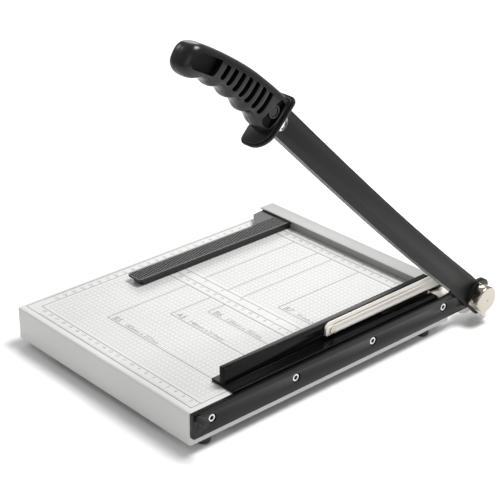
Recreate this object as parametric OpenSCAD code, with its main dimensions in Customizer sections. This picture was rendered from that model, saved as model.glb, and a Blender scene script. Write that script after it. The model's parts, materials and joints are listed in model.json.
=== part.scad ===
// Lever paper cutter: a steel tray bed with a back fence, a hinged blade with a
// grip handle, a lifting press bar and a sliding side guide.
// Millimetres, +Z up. The origin is on the desk under the middle of the cutter's
// box, with the blade raised as it rests. +X points to the blade's side and +Y
// from the user to the hinge.

/* [Tray] */
// Width of the steel tray, across the cut
tray_w = 249.4; // [220:0.2:300]
// Depth of the steel tray, along the cut
tray_d = 323; // [310:1:360]
// Height of the tray's walls
tray_h = 31.5; // [30:0.5:40]
// Thickness of the tray's sheet steel
sheet_t = 1.2; // [0.8:0.1:1.6]
// Radius of the tray's pressed edges and corners
tray_edge_r = 2.5; // [2:0.5:5]

/* [Feet] */
// Height of a rubber foot below the tray
foot_h = 7; // [5:0.5:10]
// Radius of a rubber foot where it meets the tray
foot_r = 7.5; // [7:0.5:8]
// Radius of a rubber foot on the desk
foot_base_r = 6.5; // [6:0.5:7]
// Foot centre to the nearest side wall of the tray
foot_inset_x = 8; // [8:0.5:20]
// Front foot's centre to the front wall of the tray
foot_inset_front = 20.5; // [14:0.5:30]
// Rear foot's centre to the rear wall of the tray
foot_inset_rear = 29.5; // [14:0.5:32]
// Side of the corner plate that carries a foot
corner_plate_side = 42; // [38:1:50]
// Thickness of a corner plate
corner_plate_t = 1.5; // [1:0.1:3]
// Radius of a foot screw
foot_screw_r = 2; // [1.5:0.25:2.5]

/* [Fence] */
// Left end of the fence to the tray's left side
fence_left = 2.5; // [1:0.5:10]
// Right end of the fence to the tray's right side
fence_right = 20.9; // [19:0.1:60]
// Front face of the fence to the tray's rear face
fence_setback = 16; // [16:0.5:24]
// Height of the fence above the bed
fence_h = 9.7; // [8:0.1:14]
// Depth of the fence's channel, front to back
fence_d = 14.5; // [12:0.5:16]
// Wall of the fence
fence_t = 1.7; // [1.2:0.1:2.5]
// Overhang of the fence's lip towards the user
fence_lip = 3; // [1:0.5:5]
// Radius of a screw boss inside the fence
fence_boss_r = 4; // [3.5:0.25:5]
// Radius of a fence screw
fence_screw_r = 1.75; // [1.5:0.25:2]
// How many screws hold the fence
fence_screw_n = 3; // [2:1:5]

/* [Side guide] */
// Cutting line to the guide's nearer edge, at rest
guide_pos = 207.7; // [120:0.1:208]
// Length of the guide's arm from the fence
guide_len = 198.6; // [150:0.2:260]
// Width of the guide's top plate
guide_w = 19.3; // [16:0.1:24]
// Thickness of the guide's top plate
guide_plate_t = 2.2; // [1.5:0.1:3]
// Width of the guide's web
guide_web_w = 14.3; // [12.5:0.1:15]
// Overhang of the top plate past the web on the paper's side
guide_overhang = 1.5; // [0.5:0.1:2]
// Overhang of the top plate past the web at the user's end
guide_nose = 5; // [2:0.5:10]
// Reach of the guide's squaring gusset to the left
gusset_reach = 22; // [12:0.5:22]
// Length of the gusset along the guide
gusset_len = 34; // [25:1:50]
// Width of the magnet strip in the guide
magnet_w = 9.6; // [6:0.1:10]
// Thickness of the magnet strip
magnet_t = 2.5; // [1.5:0.1:3]
// Length of the magnet strip
magnet_len = 150; // [80:1:170]

/* [Bed knife] */
// Thickness of the fixed knife bar
knife_t = 5.2; // [4:0.1:7]
// Height of the knife bar
knife_h = 23; // [20:0.5:28]
// Top of the knife to its screws
knife_screw_drop = 10.3; // [8.5:0.1:11]
// User's end of the knife to its first screw
knife_screw_first = 20.2; // [16:0.2:30]
// Tray's rear face to the last knife screw
knife_screw_last = 14.5; // [12:0.1:40]
// Radius of a knife screw
knife_screw_r = 2.5; // [2:0.25:3]
// Radius of a knife screw's head
knife_head_r = 3.4; // [3.2:0.1:3.8]
// Thickness of a knife screw's head
knife_head_t = 1.6; // [1.4:0.1:1.8]
// Radius of the sunk seat round the head
knife_seat_r = 4.5; // [4.2:0.1:5]
// Depth of the seat
knife_seat_d = 2.5; // [2.2:0.1:2.8]
// Knife past the blade's pivot, at the rear
knife_tail = 20.5; // [16:0.5:22]
// Radius of the corners at the knife's rear end
knife_end_r = 8; // [4:0.5:10]

/* [Stop] */
// User's end of the knife to the stop
stop_in = 5; // [4.6:0.1:8]
// Top of the knife to the stop's axis
stop_drop = 4.8; // [4.4:0.1:8]
// Reach of the stop past the cutting plane
stop_reach = 10.6; // [8:0.1:14]
// Radius of the stop's rubber head
stop_head_r = 4.2; // [3.6:0.1:5]
// Radius of the rubber where the blade lands
stop_neck_r = 3.2; // [2.6:0.1:3.6]
// Radius of the steel stud inside the rubber
stud_r = 1.8; // [1.2:0.1:2.2]

/* [Press bar] */
// Cutting plane to the nearer edge of the press bar
press_in = 3.6; // [3:0.1:6]
// Width of the press bar's flange
press_w = 28.4; // [24:0.1:30]
// Thickness of the flange
press_t = 3; // [2:0.1:4]
// Height of the press bar above the bed
press_h = 19.5; // [19:0.1:24]
// Thickness of the press bar's upright
press_rib_t = 6.5; // [4:0.1:8]
// Nearer edge of the flange to the upright
press_rib_in = 11.7; // [11:0.1:13]
// Length of the press bar
press_len = 255; // [220:1:270]
// Rear end of the press bar to the fence's front face
press_rear = 5; // [4.5:0.1:10]

/* [Clamp arm] */
// Thickness of each of the arm's two leaves
leaf_t = 1.3; // [1:0.05:1.6]
// Height of the outer leaf
leaf_outer_h = 9; // [7:0.1:10]
// Height of the inner leaf
leaf_inner_h = 12.4; // [10:0.1:13]
// Bed to the lower edge of the leaves
leaf_low = 7; // [6:0.1:8]
// Fence's front face to the arm's pin
arm_pin_back = 8.5; // [7.5:0.1:10]
// Fence's front face to the arm's rivet
arm_rivet_front = 135; // [100:1:200]
// Arm's rivet to its rounded user's end
arm_nose = 8; // [6:0.5:12]
// Radius of the arm's pin
arm_pin_r = 2.5; // [2:0.1:3]
// Radius of the arm's rivet
arm_rivet_r = 2; // [1.5:0.1:2.5]
// Angle that the arm lifts by
clamp_lift_deg = 3; // [1:0.5:4]
// Width of the bracket that holds the arm's pin
clamp_bracket_w = 7; // [5:0.5:7.5]
// Length of the wear plate beside the hinge
heel_len = 18; // [12:0.5:18]
// Width of the wear plate
heel_w = 12; // [9:0.5:12]
// Thickness of the wear plate
heel_t = 1.5; // [1:0.1:2]

/* [Hinge] */
// Tray's rear face to the blade's pivot
pivot_out = 29.3; // [28:0.1:36]
// Bed to the blade's pivot, downwards
pivot_drop = 11.5; // [10:0.1:14]
// Angle of the raised blade at rest
rest_deg = 44; // [40:0.5:50]
// Radius of the pivot bolt
bolt_r = 5; // [4:0.1:6]
// Radius of the bolt's head
bolt_head_r = 9; // [8:0.5:11]
// Thickness of the hinge bracket
bracket_t = 3; // [2:0.1:4]
// Radius of the bracket's lug
lug_r = 22.5; // [18:0.5:24]
// Radius of the spacer between lug and knife
spacer_r = 11; // [8:0.5:12]
// Radius of the disc springs
spring_r = 14; // [11:0.5:15]
// Thickness of one disc spring
spring_t = 0.8; // [0.6:0.1:1]
// Dish of one disc spring
spring_dish = 0.4; // [0.2:0.1:0.6]
// Length of the pressure plate along the blade
hinge_plate_len = 33.5; // [28:0.5:40]
// Pressure plate past the pivot towards the handle
hinge_plate_front = 10.4; // [8:0.1:16]
// Height of the pressure plate
hinge_plate_h = 23.4; // [20:0.2:28]
// Thickness of the pressure plate
hinge_plate_t = 2; // [1.5:0.1:3]
// Radius of the cap nut
cap_r = 13; // [10:0.5:14]
// Thickness of the cap nut
cap_t = 9; // [7:0.5:12]

/* [Blade] */
// Thickness of the blade
blade_t = 3; // [2:0.1:4]
// Running gap between the blade and the cutting plane
blade_gap = 0.1; // [0.05:0.05:0.2]
// Pivot line to the cutting edge where the blade bows lowest, downwards
edge_drop = 18.7; // [17.5:0.1:19]
// Pivot line to the upper edge where the blade bows lowest, upwards
back_rise = 6.8; // [5:0.1:9]
// Pivot to the lowest place of the bow, along the blade
bow_at = 200; // [180:1:220]
// Rise of the bow towards the hinge
bow_near = 5.6; // [3:0.1:6]
// Rise of the bow towards the handle
bow_far = 1.6; // [1:0.1:3]
// Blade past its pivot, at the rear
blade_tail = 19; // [14:0.5:20]
// Pivot to the finger guard along the blade
guard_at = 368; // [365:0.5:420]
// Width of the ground bevel along the edge
bevel_w = 2.6; // [2.4:0.1:4]
// Radius of the hang hole
hang_r = 6.5; // [4:0.1:7]
// Centre of the hang hole to the finger guard
hang_in = 11.5; // [9:0.1:20]
// Pivot line to the hang hole, downwards
hang_drop = 4.8; // [3:0.1:6]
// Length of the tang inside the handle
tang_len = 62; // [40:1:70]
// Height of the tang
tang_h = 15; // [12:0.5:18]

/* [Handle] */
// Length of the grip from the guard to its end
grip_len = 112; // [108:1:130]
// Width of the grip, both shells together
grip_w = 26; // [24:0.5:30]
// Height of the grip at the guard
grip_root_h = 34.2; // [33:0.2:38]
// Height of the grip at its waist
grip_waist_h = 27.4; // [26:0.2:30]
// Height of the grip's end knob
grip_knob_h = 27.4; // [27:0.2:32]
// Pivot line to the grip's middle at the guard, downwards
grip_drop = 4.9; // [3:0.1:6]
// Straight stretch of the grip before it bends down
grip_straight = 34; // [25:1:40]
// Radius of the grip's bend
grip_bend_r = 206; // [170:1:400]
// How far the grip's sections lean with its bend
grip_lean = 0.5; // [0:0.05:0.8]
// Depth of the finger grooves
groove_depth = 2.8; // [0.5:0.1:3]
// Pitch of the finger grooves
groove_pitch = 21; // [18:0.5:25]
// Width of a slot in the grip's side
slot_w = 4.6; // [2:0.1:5]
// Pitch of the slots
slot_pitch = 8.7; // [7:0.05:9]
// Number of slots in each shell
slot_n = 7; // [3:1:7]
// Depth of the slots
slot_depth = 7.5; // [4:0.5:8]
// Depth of the sunk side panel
panel_depth = 5; // [2:0.5:6]
// Height of the finger guard above the pivot line
guard_up = 14.5; // [13.5:0.5:17]
// Depth of the finger guard below the pivot line
guard_down = 35; // [30:0.5:38]
// Width of the finger guard
guard_w = 30; // [28:0.5:36]
// Thickness of the finger guard
guard_t = 4; // [3:0.1:6]
// Step of the guard's rim
guard_step = 1.5; // [0.5:0.1:2]
// Radius of the guard's corners
guard_r = 6; // [5:0.5:9]
// Radius of the guard's lower corner on the open side
guard_low_r = 18; // [9:0.5:20]
// Radius of a handle screw
grip_screw_r = 2; // [1.5:0.1:2.5]

/* [Hidden] */
$fn = 48;

// Clearances: seated pieces, sliding faces and running shafts
seat_gap = 0.02;
slide_gap = 0.3;
run_gap = 0.05;
eps = 0.01;

// How far a cut runs past the faces it opens
over = 1;

// Sizes of nuts and screw heads, from their screws
nut_factor = 1.9;
nut_height = 1.6;
head_factor = 1.9;
head_height = 1.2;
// A screw's tip past its nut, or short of the end of a blind hole
tip_past = 1;
tip_gap = 1;

// Places on the bed, from the cutting plane, the fence's face and the bed's top
bed_z = foot_h + tray_h;
bed_left = -knife_t - tray_w;
wall_in = -knife_t - sheet_t;
knife_y0 = fence_setback - tray_d;
fence_len = tray_w - fence_left - fence_right;
knife_screw_n = 4;
knife_screw_pitch = (tray_d - knife_screw_first - knife_screw_last) / (knife_screw_n - 1);
knife_screw_ys = [
  for (i = [0:knife_screw_n - 1]) knife_y0 + knife_screw_first + i * knife_screw_pitch
];
stop_y = knife_y0 + stop_in;
press_rib_x1 = -press_in - press_rib_in;
press_rib_x0 = press_rib_x1 - press_rib_t;
leaf_x0 = press_rib_x1 + slide_gap;
leaf_x1 = leaf_x0 + leaf_t;
leaf_x2 = leaf_x1 + leaf_t;
arm_z = leaf_low + leaf_outer_h / 2;
clamp_bracket_x1 = leaf_x0 - slide_gap;
clamp_bracket_x0 = clamp_bracket_x1 - clamp_bracket_w;
clamp_bracket_half = 7;
clamp_screw_r = 1.75;
rivet_head = 1.8;
heel_rivet_r = 1.5;
heel_rivet_head_t = 1;
heel_rivet_x = -knife_t - tray_edge_r - heel_rivet_r * rivet_head - slide_gap;
heel_x0 = clamp_bracket_x1 + slide_gap;
heel_behind_bar = 2;
heel_y0 = -press_rear + heel_behind_bar;
guide_x1 = -guide_pos;
guide_x0 = guide_x1 - guide_w;
guide_h = fence_h - fence_t - slide_gap;
pivot_y = fence_setback + pivot_out;
bracket_x1 = wall_in;
bracket_x0 = bracket_x1 - bracket_t;
bracket_half_h = 7;
bracket_front = 8;
bracket_screw_n = 2;
bracket_first_screw = knife_screw_n - bracket_screw_n;
bracket_y0 = knife_screw_ys[bracket_first_screw] - bracket_front;

// Places on the blade's arm, from the pivot and the cutting plane
blade_x0 = blade_gap;
blade_x1 = blade_x0 + blade_t;
blade_mid = blade_x0 + blade_t / 2;
spring_x0 = blade_x1 + run_gap;
spring_stack = 2 * (spring_t + spring_dish) + seat_gap;
plate_x0 = spring_x0 + spring_stack + seat_gap;
plate_x1 = plate_x0 + hinge_plate_t;
cap_x0 = plate_x1 + run_gap;
cap_x1 = cap_x0 + cap_t;
cap_skin = 3;
bolt_end_gap = 0.2;
bolt_x1 = cap_x1 - cap_skin - bolt_end_gap;
grip_at = guard_at + guard_t;
grip_screw_in = 9;
grip_rear_screw_in = 88;
grip_rear_screw_drop = 12.5;

// The grip's middle line, half height and rounded end, at a distance s from the guard
ring_step = 2.6;
grip_end = 13;
grip_power = 3.5;
belly_power = 2.6;
end_power_top = 3;
end_power_side = 3;
end_power_low = 2.4;
ring_sides = 12;
grip_flat = 0.12;
waist_s = grip_len - 27;
knob_rise = 12;
groove_first = 23;
groove_n = 4;
groove_crest = 4;
function smooth(t) = t <= 0 ? 0 : t >= 1 ? 1 : (1 - cos(180 * t)) / 2;
function past_straight(s) = max(0, s - grip_straight);
function grip_mid(s) = -grip_drop - pow(past_straight(s), 2) / (2 * grip_bend_r);
function grip_half(s) = s < waist_s
  ? (grip_root_h + (grip_waist_h - grip_root_h) * smooth(s / waist_s)) / 2
  : (grip_waist_h + (grip_knob_h - grip_waist_h) * smooth((s - waist_s) / knob_rise)) / 2;
function grip_round(s, power) = s < grip_len - grip_end ? 1
  : max(grip_flat, pow(max(0, 1 - pow((s - grip_len + grip_end) / grip_end, power)), 1 / power));
function groove(s) = s < groove_first - groove_pitch / 2 ? 0
  : s > groove_first + (groove_n - 0.5) * groove_pitch ? 0
  : groove_depth * (1 - pow(abs(sin(180 * (s - groove_first) / groove_pitch)), groove_crest));
// Above its middle line the section is squarer than below it
function bulge(part, a) = (part < 0 ? -1 : 1) * pow(abs(part), 2 / (a > 90 ? belly_power : grip_power));
// A point of the section at s: angle 0 is the top of the split line and 180 its bottom
function grip_height(s, a) = bulge(cos(a), a)
  * (a > 90 ? grip_half(s) * grip_round(s, end_power_low) - groove(s)
    : grip_half(s) * grip_round(s, end_power_top));
function grip_point(s, a) = [
  grip_w / 2 * grip_round(s, end_power_side) * bulge(sin(a), a),
  -s - grip_lean * past_straight(s) / grip_bend_r * grip_height(s, a),
  grip_mid(s) + grip_height(s, a)
];
grip_body_rings = floor((grip_len - grip_end) / ring_step);
end_rings = 7;
grip_stations = concat(
  [for (i = [0:grip_body_rings - 1]) i * (grip_len - grip_end) / grip_body_rings],
  [for (i = [0:end_rings - 1]) grip_len - grip_end + grip_end * sin(90 * i / (end_rings - 1))]
);
// The cutter's box at rest, from the bed's corner: the origin lies under its middle
plate_low = 1;
function arm_y(y, z) = pivot_y + y * cos(rest_deg) + z * sin(rest_deg);
grip_front = min([
  for (s = grip_stations)
    for (k = [0:ring_sides])
      let (p = grip_point(s, 180 * k / ring_sides))
        arm_y(p[1] - grip_at, p[2])
]);
plate_rear = arm_y(hinge_plate_len - hinge_plate_front, hinge_plate_h / 2 - plate_low);
box_y0 = min(knife_y0, grip_front);
box_y1 = max(pivot_y + lug_r, pivot_y + knife_tail, plate_rear);
cut_x = -(bed_left + cap_x1) / 2;
fence_y = -(box_y0 + box_y1) / 2;
tray_mid = [cut_x - knife_t - tray_w / 2, fence_y + fence_setback - tray_d / 2, 0];

// Pieces are placed from the tray's middle, the bed's corner, or the blade's pivot as if it lay level
module on_tray() translate(tray_mid) children();
module on_bed() translate([cut_x, fence_y, bed_z]) children();
module on_arm() on_bed() translate([0, pivot_y, -pivot_drop]) rotate([-rest_deg, 0, 0]) children();

// A plate standing across X, from a flat outline drawn in Y and Z
module side_plate(x0, x1) translate([x0, 0, 0]) rotate([90, 0, 90]) linear_extrude(x1 - x0) children();
// A bar along X, Y or Z, from its start
module bar_x(r, x0, x1) translate([x0, 0, 0]) rotate([0, 90, 0]) cylinder(r = r, h = x1 - x0);
module bar_z(r, z0, z1) translate([0, 0, z0]) cylinder(r = r, h = z1 - z0);
// A hexagonal nut along X or Z, with its threaded hole
module nut_x(r, x0) {
  difference() {
    translate([x0, 0, 0]) rotate([0, 90, 0]) cylinder(r = r * nut_factor, h = r * nut_height, $fn = 6);
    bar_x(r + seat_gap, x0 - eps, x0 + r * nut_height + eps);
  }
}
module nut_z(r, z0) {
  difference() {
    translate([0, 0, z0]) cylinder(r = r * nut_factor, h = r * nut_height, $fn = 6);
    bar_z(r + seat_gap, z0 - eps, z0 + r * nut_height + eps);
  }
}
// A flat rectangle with four round corners, about its centre
module round_rect(w, h, r) {
  square([w, h - 2 * r], center = true);
  square([w - 2 * r, h], center = true);
  for (sx = [-1, 1])
    for (sy = [-1, 1])
      translate([sx * (w / 2 - r), sy * (h / 2 - r)])
        circle(r);
}
// A flat wall outline with its two upper corners rounded
module round_top(w, h, r) {
  translate([-w / 2, 0]) square([w, h - r]);
  translate([-w / 2 + r, 0]) square([w - 2 * r, h]);
  for (s = [-1, 1])
    translate([s * (w / 2 - r), h - r]) circle(r);
}
// A block with its top edges and upright corners rounded, standing on Z = 0
module pressed_block(w, d, h, r) {
  intersection() {
    rotate([90, 0, 0]) translate([0, 0, -d / 2]) linear_extrude(d) round_top(w, h, r);
    rotate([90, 0, 90]) translate([0, 0, -w / 2]) linear_extrude(w) round_top(d, h, r);
    linear_extrude(h) round_rect(w, d, r);
  }
}

// The tray and its feet
module at_foot(sx, sy) {
  on_tray()
    translate([
      sx * (tray_w / 2 - foot_inset_x),
      sy * (tray_d / 2 - (sy < 0 ? foot_inset_front : foot_inset_rear)),
      0
    ])
      children();
}
module at_feet() {
  for (sx = [-1, 1])
    for (sy = [-1, 1])
      at_foot(sx, sy) children();
}
module at_fence_screws() {
  step = fence_len / fence_screw_n;
  on_bed()
    for (i = [0:fence_screw_n - 1])
      translate([bed_left + fence_left + step * (i + 0.5), fence_d / 2, 0])
        children();
}
module at_knife_screws() {
  on_bed()
    for (y = knife_screw_ys)
      translate([0, y, -knife_screw_drop])
        children();
}
module at_heel_rivets() {
  on_bed()
    for (t = [0.25, 0.75])
      translate([heel_rivet_x, heel_y0 + heel_len * t, 0])
        children();
}
module at_clamp_screw() {
  on_bed()
    translate([(clamp_bracket_x0 + clamp_bracket_x1) / 2, arm_pin_back, 0])
      children();
}

module tray() {
  color([0.80, 0.81, 0.80])
  difference() {
    on_tray() translate([0, 0, foot_h]) pressed_block(tray_w, tray_d, tray_h, tray_edge_r);
    on_tray() translate([0, 0, foot_h - eps])
      pressed_block(
        tray_w - 2 * sheet_t, tray_d - 2 * sheet_t, tray_h - sheet_t + eps, tray_edge_r - sheet_t
      );
    at_knife_screws() bar_x(knife_screw_r + seat_gap, wall_in - over, -knife_t + over);
    at_fence_screws() bar_z(fence_screw_r + seat_gap, -sheet_t - over, over);
    at_heel_rivets() bar_z(heel_rivet_r + seat_gap, -sheet_t - over, over);
    at_clamp_screw() bar_z(clamp_screw_r + seat_gap, -sheet_t - over, over);
    on_bed()
      translate([bracket_x0 - slide_gap, fence_setback - sheet_t - over, -tray_h - over])
        cube([
          bracket_t + slide_gap,
          sheet_t + 2 * over,
          tray_h + over - knife_screw_drop + bracket_half_h + slide_gap
        ]);
  }
}
module corner_plates() {
  color([0.62, 0.62, 0.60])
  difference() {
    for (sx = [-1, 1])
      for (sy = [-1, 1])
        on_tray()
        translate([
          sx * (tray_w / 2 - tray_edge_r - corner_plate_side / 2),
          sy * (tray_d / 2 - tray_edge_r - corner_plate_side / 2),
          foot_h + corner_plate_t / 2
        ])
          corner_plate(sx, sy);
    at_feet() bar_z(foot_screw_r + seat_gap, foot_h - over, foot_h + corner_plate_t + over);
  }
}
// One corner plate, with tabs that reach the two walls it is welded to
module corner_plate(sx, sy) {
  tab = tray_edge_r - sheet_t;
  half = corner_plate_side / 2;
  cube([corner_plate_side, corner_plate_side, corner_plate_t], center = true);
  translate([sx * (half + tab / 2 - eps / 2), 0, 0])
    cube([tab + eps, corner_plate_side, corner_plate_t], center = true);
  translate([0, sy * (half + tab / 2 - eps / 2), 0])
    cube([corner_plate_side, tab + eps, corner_plate_t], center = true);
}
foot_pocket = 0.55;
foot_chamfer = 0.6;
module foot(sx, sy) {
  color([0.06, 0.06, 0.06])
  at_foot(sx, sy)
  difference() {
    rotate_extrude()
      polygon([
        [0, 0], [foot_base_r - foot_chamfer, 0], [foot_base_r, foot_chamfer], [foot_r, foot_h], [0, foot_h]
      ]);
    bar_z(foot_screw_r + seat_gap, -over, foot_h + over);
    bar_z(foot_screw_r * head_factor + slide_gap, -over, foot_h * foot_pocket);
  }
}
module foot_front_left() foot(-1, -1);
module foot_front_right() foot(1, -1);
module foot_rear_left() foot(-1, 1);
module foot_rear_right() foot(1, 1);
module foot_screws() {
  tip = foot_h + corner_plate_t + foot_screw_r * nut_height + tip_past;
  color([0.75, 0.75, 0.76])
  at_feet() {
    bar_z(foot_screw_r, foot_h * foot_pocket - eps, tip);
    bar_z(
      foot_screw_r * head_factor, foot_h * foot_pocket - foot_screw_r * head_height, foot_h * foot_pocket
    );
  }
}
module foot_nuts() {
  color([0.75, 0.75, 0.76])
  at_feet() nut_z(foot_screw_r, foot_h + corner_plate_t);
}

// The back fence: a channel with a lip over the guide's head
module fence() {
  color([0.84, 0.84, 0.83])
  difference() {
    union() {
      on_bed()
        side_plate(bed_left + fence_left, bed_left + fence_left + fence_len)
          polygon([
            [0, 0], [fence_t, 0], [fence_t, fence_h - fence_t], [fence_d - fence_t, fence_h - fence_t],
            [fence_d - fence_t, 0], [fence_d, 0], [fence_d, fence_h], [-fence_lip, fence_h],
            [-fence_lip, fence_h - fence_t], [0, fence_h - fence_t]
          ]);
      at_fence_screws() bar_z(fence_boss_r, 0, fence_h - fence_t + eps);
    }
    at_fence_screws() bar_z(fence_screw_r + seat_gap, -over, fence_h - fence_t);
  }
}
module fence_screws() {
  color([0.75, 0.75, 0.76])
  at_fence_screws() {
    bar_z(fence_screw_r, -sheet_t - eps, fence_h - fence_t - tip_gap);
    bar_z(fence_screw_r * head_factor, -sheet_t - fence_screw_r * head_height, -sheet_t);
  }
}

// The side guide, held on the steel bed by its magnet strip
module guide_shape(x0, x1, y0, z0, z1) {
  translate([x0, y0, z0]) cube([x1 - x0, -slide_gap - y0, z1 - z0]);
}
module side_guide() {
  web_x1 = guide_x1 - guide_overhang;
  web_x0 = web_x1 - guide_web_w;
  web_mid = (web_x0 + web_x1) / 2;
  plate_z = guide_h - guide_plate_t;
  root_in = 1;
  gusset_slant = 1.5;
  color([0.11, 0.11, 0.115])
  on_bed()
  difference() {
    union() {
      guide_shape(guide_x0, guide_x1, -guide_len, plate_z, guide_h);
      guide_shape(web_x0, web_x1, -guide_len + guide_nose, slide_gap, plate_z + eps);
      translate([0, 0, plate_z])
        linear_extrude(guide_plate_t)
          polygon([
            [guide_x0 + root_in, -gusset_len], [guide_x0 - gusset_reach + gusset_slant, -gusset_len / 2],
            [guide_x0 - gusset_reach, -slide_gap], [guide_x0 + root_in, -slide_gap]
          ]);
    }
    translate([web_mid - magnet_w / 2 - seat_gap, -guide_len / 2 - magnet_len / 2 - seat_gap, 0])
      cube([magnet_w + 2 * seat_gap, magnet_len + 2 * seat_gap, slide_gap + magnet_t + seat_gap]);
  }
}
module guide_magnet() {
  web_mid = guide_x1 - guide_overhang - guide_web_w / 2;
  color([0.20, 0.18, 0.17])
  on_bed()
    translate([web_mid - magnet_w / 2, -guide_len / 2 - magnet_len / 2, slide_gap])
      cube([magnet_w, magnet_len, magnet_t]);
}

// The fixed knife along the right edge of the bed, and the blade's stop
module bed_knife() {
  color([0.16, 0.16, 0.17])
  difference() {
    on_bed()
      side_plate(-knife_t, 0)
        hull() {
          translate([knife_y0, -knife_h]) square([pivot_y - knife_y0, knife_h]);
          for (z = [-knife_end_r, knife_end_r - knife_h])
            translate([pivot_y + knife_tail - knife_end_r, z]) circle(knife_end_r);
        }
    on_bed() translate([0, pivot_y, -pivot_drop]) bar_x(bolt_r + seat_gap, -knife_t - over, over);
    at_knife_screws() bar_x(knife_screw_r + seat_gap, -knife_t - over, over);
    at_knife_screws() bar_x(knife_seat_r, -knife_seat_d, over);
    on_bed() translate([0, stop_y, -stop_drop]) bar_x(stud_r + seat_gap, -knife_t - over, over);
  }
}
function nut_seat(i) = i < bracket_first_screw ? wall_in : bracket_x0;
module knife_screws() {
  color([0.80, 0.80, 0.80])
  for (i = [0:knife_screw_n - 1])
    on_bed()
      translate([0, knife_screw_ys[i], -knife_screw_drop])
        knife_screw(nut_seat(i) - knife_screw_r * nut_height - tip_past);
}
// One pan-head screw with a cross recess, from its tip to its head
module knife_screw(tip) {
  cross_w = 1.1;
  cross_l = 4;
  cross_d = 1.3;
  face = knife_head_t - knife_seat_d;
  difference() {
    union() {
      bar_x(knife_screw_r, tip, eps - knife_seat_d);
      bar_x(knife_head_r, -knife_seat_d, face);
    }
    for (a = [0, 90])
      rotate([a + 45, 0, 0])
        translate([face - cross_d, -cross_l / 2, -cross_w / 2])
          cube([cross_d + over, cross_l, cross_w]);
  }
}
module knife_nuts() {
  color([0.75, 0.75, 0.76])
  for (i = [0:knife_screw_n - 1])
    on_bed()
      translate([0, knife_screw_ys[i], -knife_screw_drop])
        nut_x(knife_screw_r, nut_seat(i) - knife_screw_r * nut_height);
}
stud_end = 1;
module stop_stud() {
  color([0.35, 0.35, 0.36])
  on_bed() translate([0, stop_y, -stop_drop]) bar_x(stud_r, -knife_t, stop_reach - stud_end);
}
module stop_bumper() {
  neck_end = blade_x1 + 1;
  soft = 1;
  color([0.07, 0.07, 0.07])
  on_bed()
  translate([0, stop_y, -stop_drop])
  rotate([0, 90, 0])
  difference() {
    rotate_extrude()
      polygon([
        [0, seat_gap], [stop_neck_r, seat_gap], [stop_neck_r, neck_end], [stop_head_r, neck_end + soft],
        [stop_head_r, stop_reach - soft], [stop_head_r - soft, stop_reach], [0, stop_reach]
      ]);
    translate([0, 0, -over]) cylinder(r = stud_r + seat_gap, h = stop_reach - stud_end + seat_gap + over);
  }
}

// The press bar, its arm and what they hinge on. The bar stays level while the arm
// lifts, so the leaves sink into a slot in its flange behind the rivet.
module press_bar() {
  x1 = -press_in;
  x0 = x1 - press_w;
  root = 2;
  z0 = slide_gap;
  z1 = z0 + press_t;
  lip = 0.8;
  arm_slot_y = -arm_rivet_front + (leaf_low - z1 - slide_gap) / sin(clamp_lift_deg);
  color([0.09, 0.09, 0.095])
  difference() {
    on_bed()
      translate([0, -press_rear, 0])
      rotate([90, 0, 0])
      linear_extrude(press_len)
        polygon([
          [x0, z0], [x1, z0], [x1, z1 - lip], [x1 - lip, z1], [press_rib_x1, z1],
          [press_rib_x1, press_h], [press_rib_x0, press_h],
          [press_rib_x0, z1 + root], [press_rib_x0 - root, z1], [x0 + lip, z1], [x0, z1 - lip]
        ]);
    on_bed()
      translate([press_rib_x1, arm_slot_y, z0 - over])
        cube([leaf_x2 + slide_gap - press_rib_x1, -press_rear - arm_slot_y + over, press_t + 2 * over]);
    on_bed()
      translate([0, -arm_rivet_front, arm_z])
        bar_x(arm_rivet_r + run_gap, press_rib_x0 - over, press_rib_x1 + over);
  }
}
// One leaf of the arm: a strip with a round end over its pin and a sloped user's end
module arm_leaf(x0, x1, h, slope) {
  y0 = -arm_rivet_front - arm_nose;
  end_r = leaf_outer_h / 2;
  difference() {
    on_bed()
    side_plate(x0, x1) {
      polygon([
        [y0, leaf_low], [arm_pin_back, leaf_low], [arm_pin_back, leaf_low + leaf_outer_h],
        [0, leaf_low + h], [y0 + slope, leaf_low + h], [y0, leaf_low + h / 2]
      ]);
      translate([arm_pin_back, arm_z]) circle(end_r);
    }
    on_bed() translate([0, arm_pin_back, arm_z]) bar_x(arm_pin_r + run_gap, x0 - over, x1 + over);
    on_bed() translate([0, -arm_rivet_front, arm_z]) bar_x(arm_rivet_r + seat_gap, x0 - over, x1 + over);
  }
}
inner_slope = 4;
outer_slope = 6;
module clamp_arm_inner() color([0.82, 0.79, 0.74]) arm_leaf(leaf_x0, leaf_x1, leaf_inner_h, inner_slope);
module clamp_arm_outer() color([0.86, 0.83, 0.78]) arm_leaf(leaf_x1, leaf_x2, leaf_outer_h, outer_slope);
module arm_rivet() {
  head_t = 1.2;
  head_grows = 1.7;
  head_r = arm_rivet_r * head_grows;
  tail_x = press_rib_x0 - slide_gap;
  color([0.80, 0.78, 0.74])
  on_bed()
  translate([0, -arm_rivet_front, arm_z]) {
    bar_x(arm_rivet_r, tail_x - eps, leaf_x2 + eps);
    bar_x(head_r, leaf_x2, leaf_x2 + head_t);
    bar_x(head_r, tail_x - head_t, tail_x);
  }
}
module arm_pin() {
  head_t = 1.5;
  head_grows = 1.6;
  head_r = arm_pin_r * head_grows;
  head_x = leaf_x2 + slide_gap;
  color([0.72, 0.70, 0.66])
  on_bed()
  translate([0, arm_pin_back, arm_z]) {
    bar_x(arm_pin_r, clamp_bracket_x0, head_x + eps);
    bar_x(head_r, head_x, head_x + head_t);
  }
}
pin_wall = 1.5;
clamp_hole_top = arm_z - arm_pin_r - pin_wall;
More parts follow.
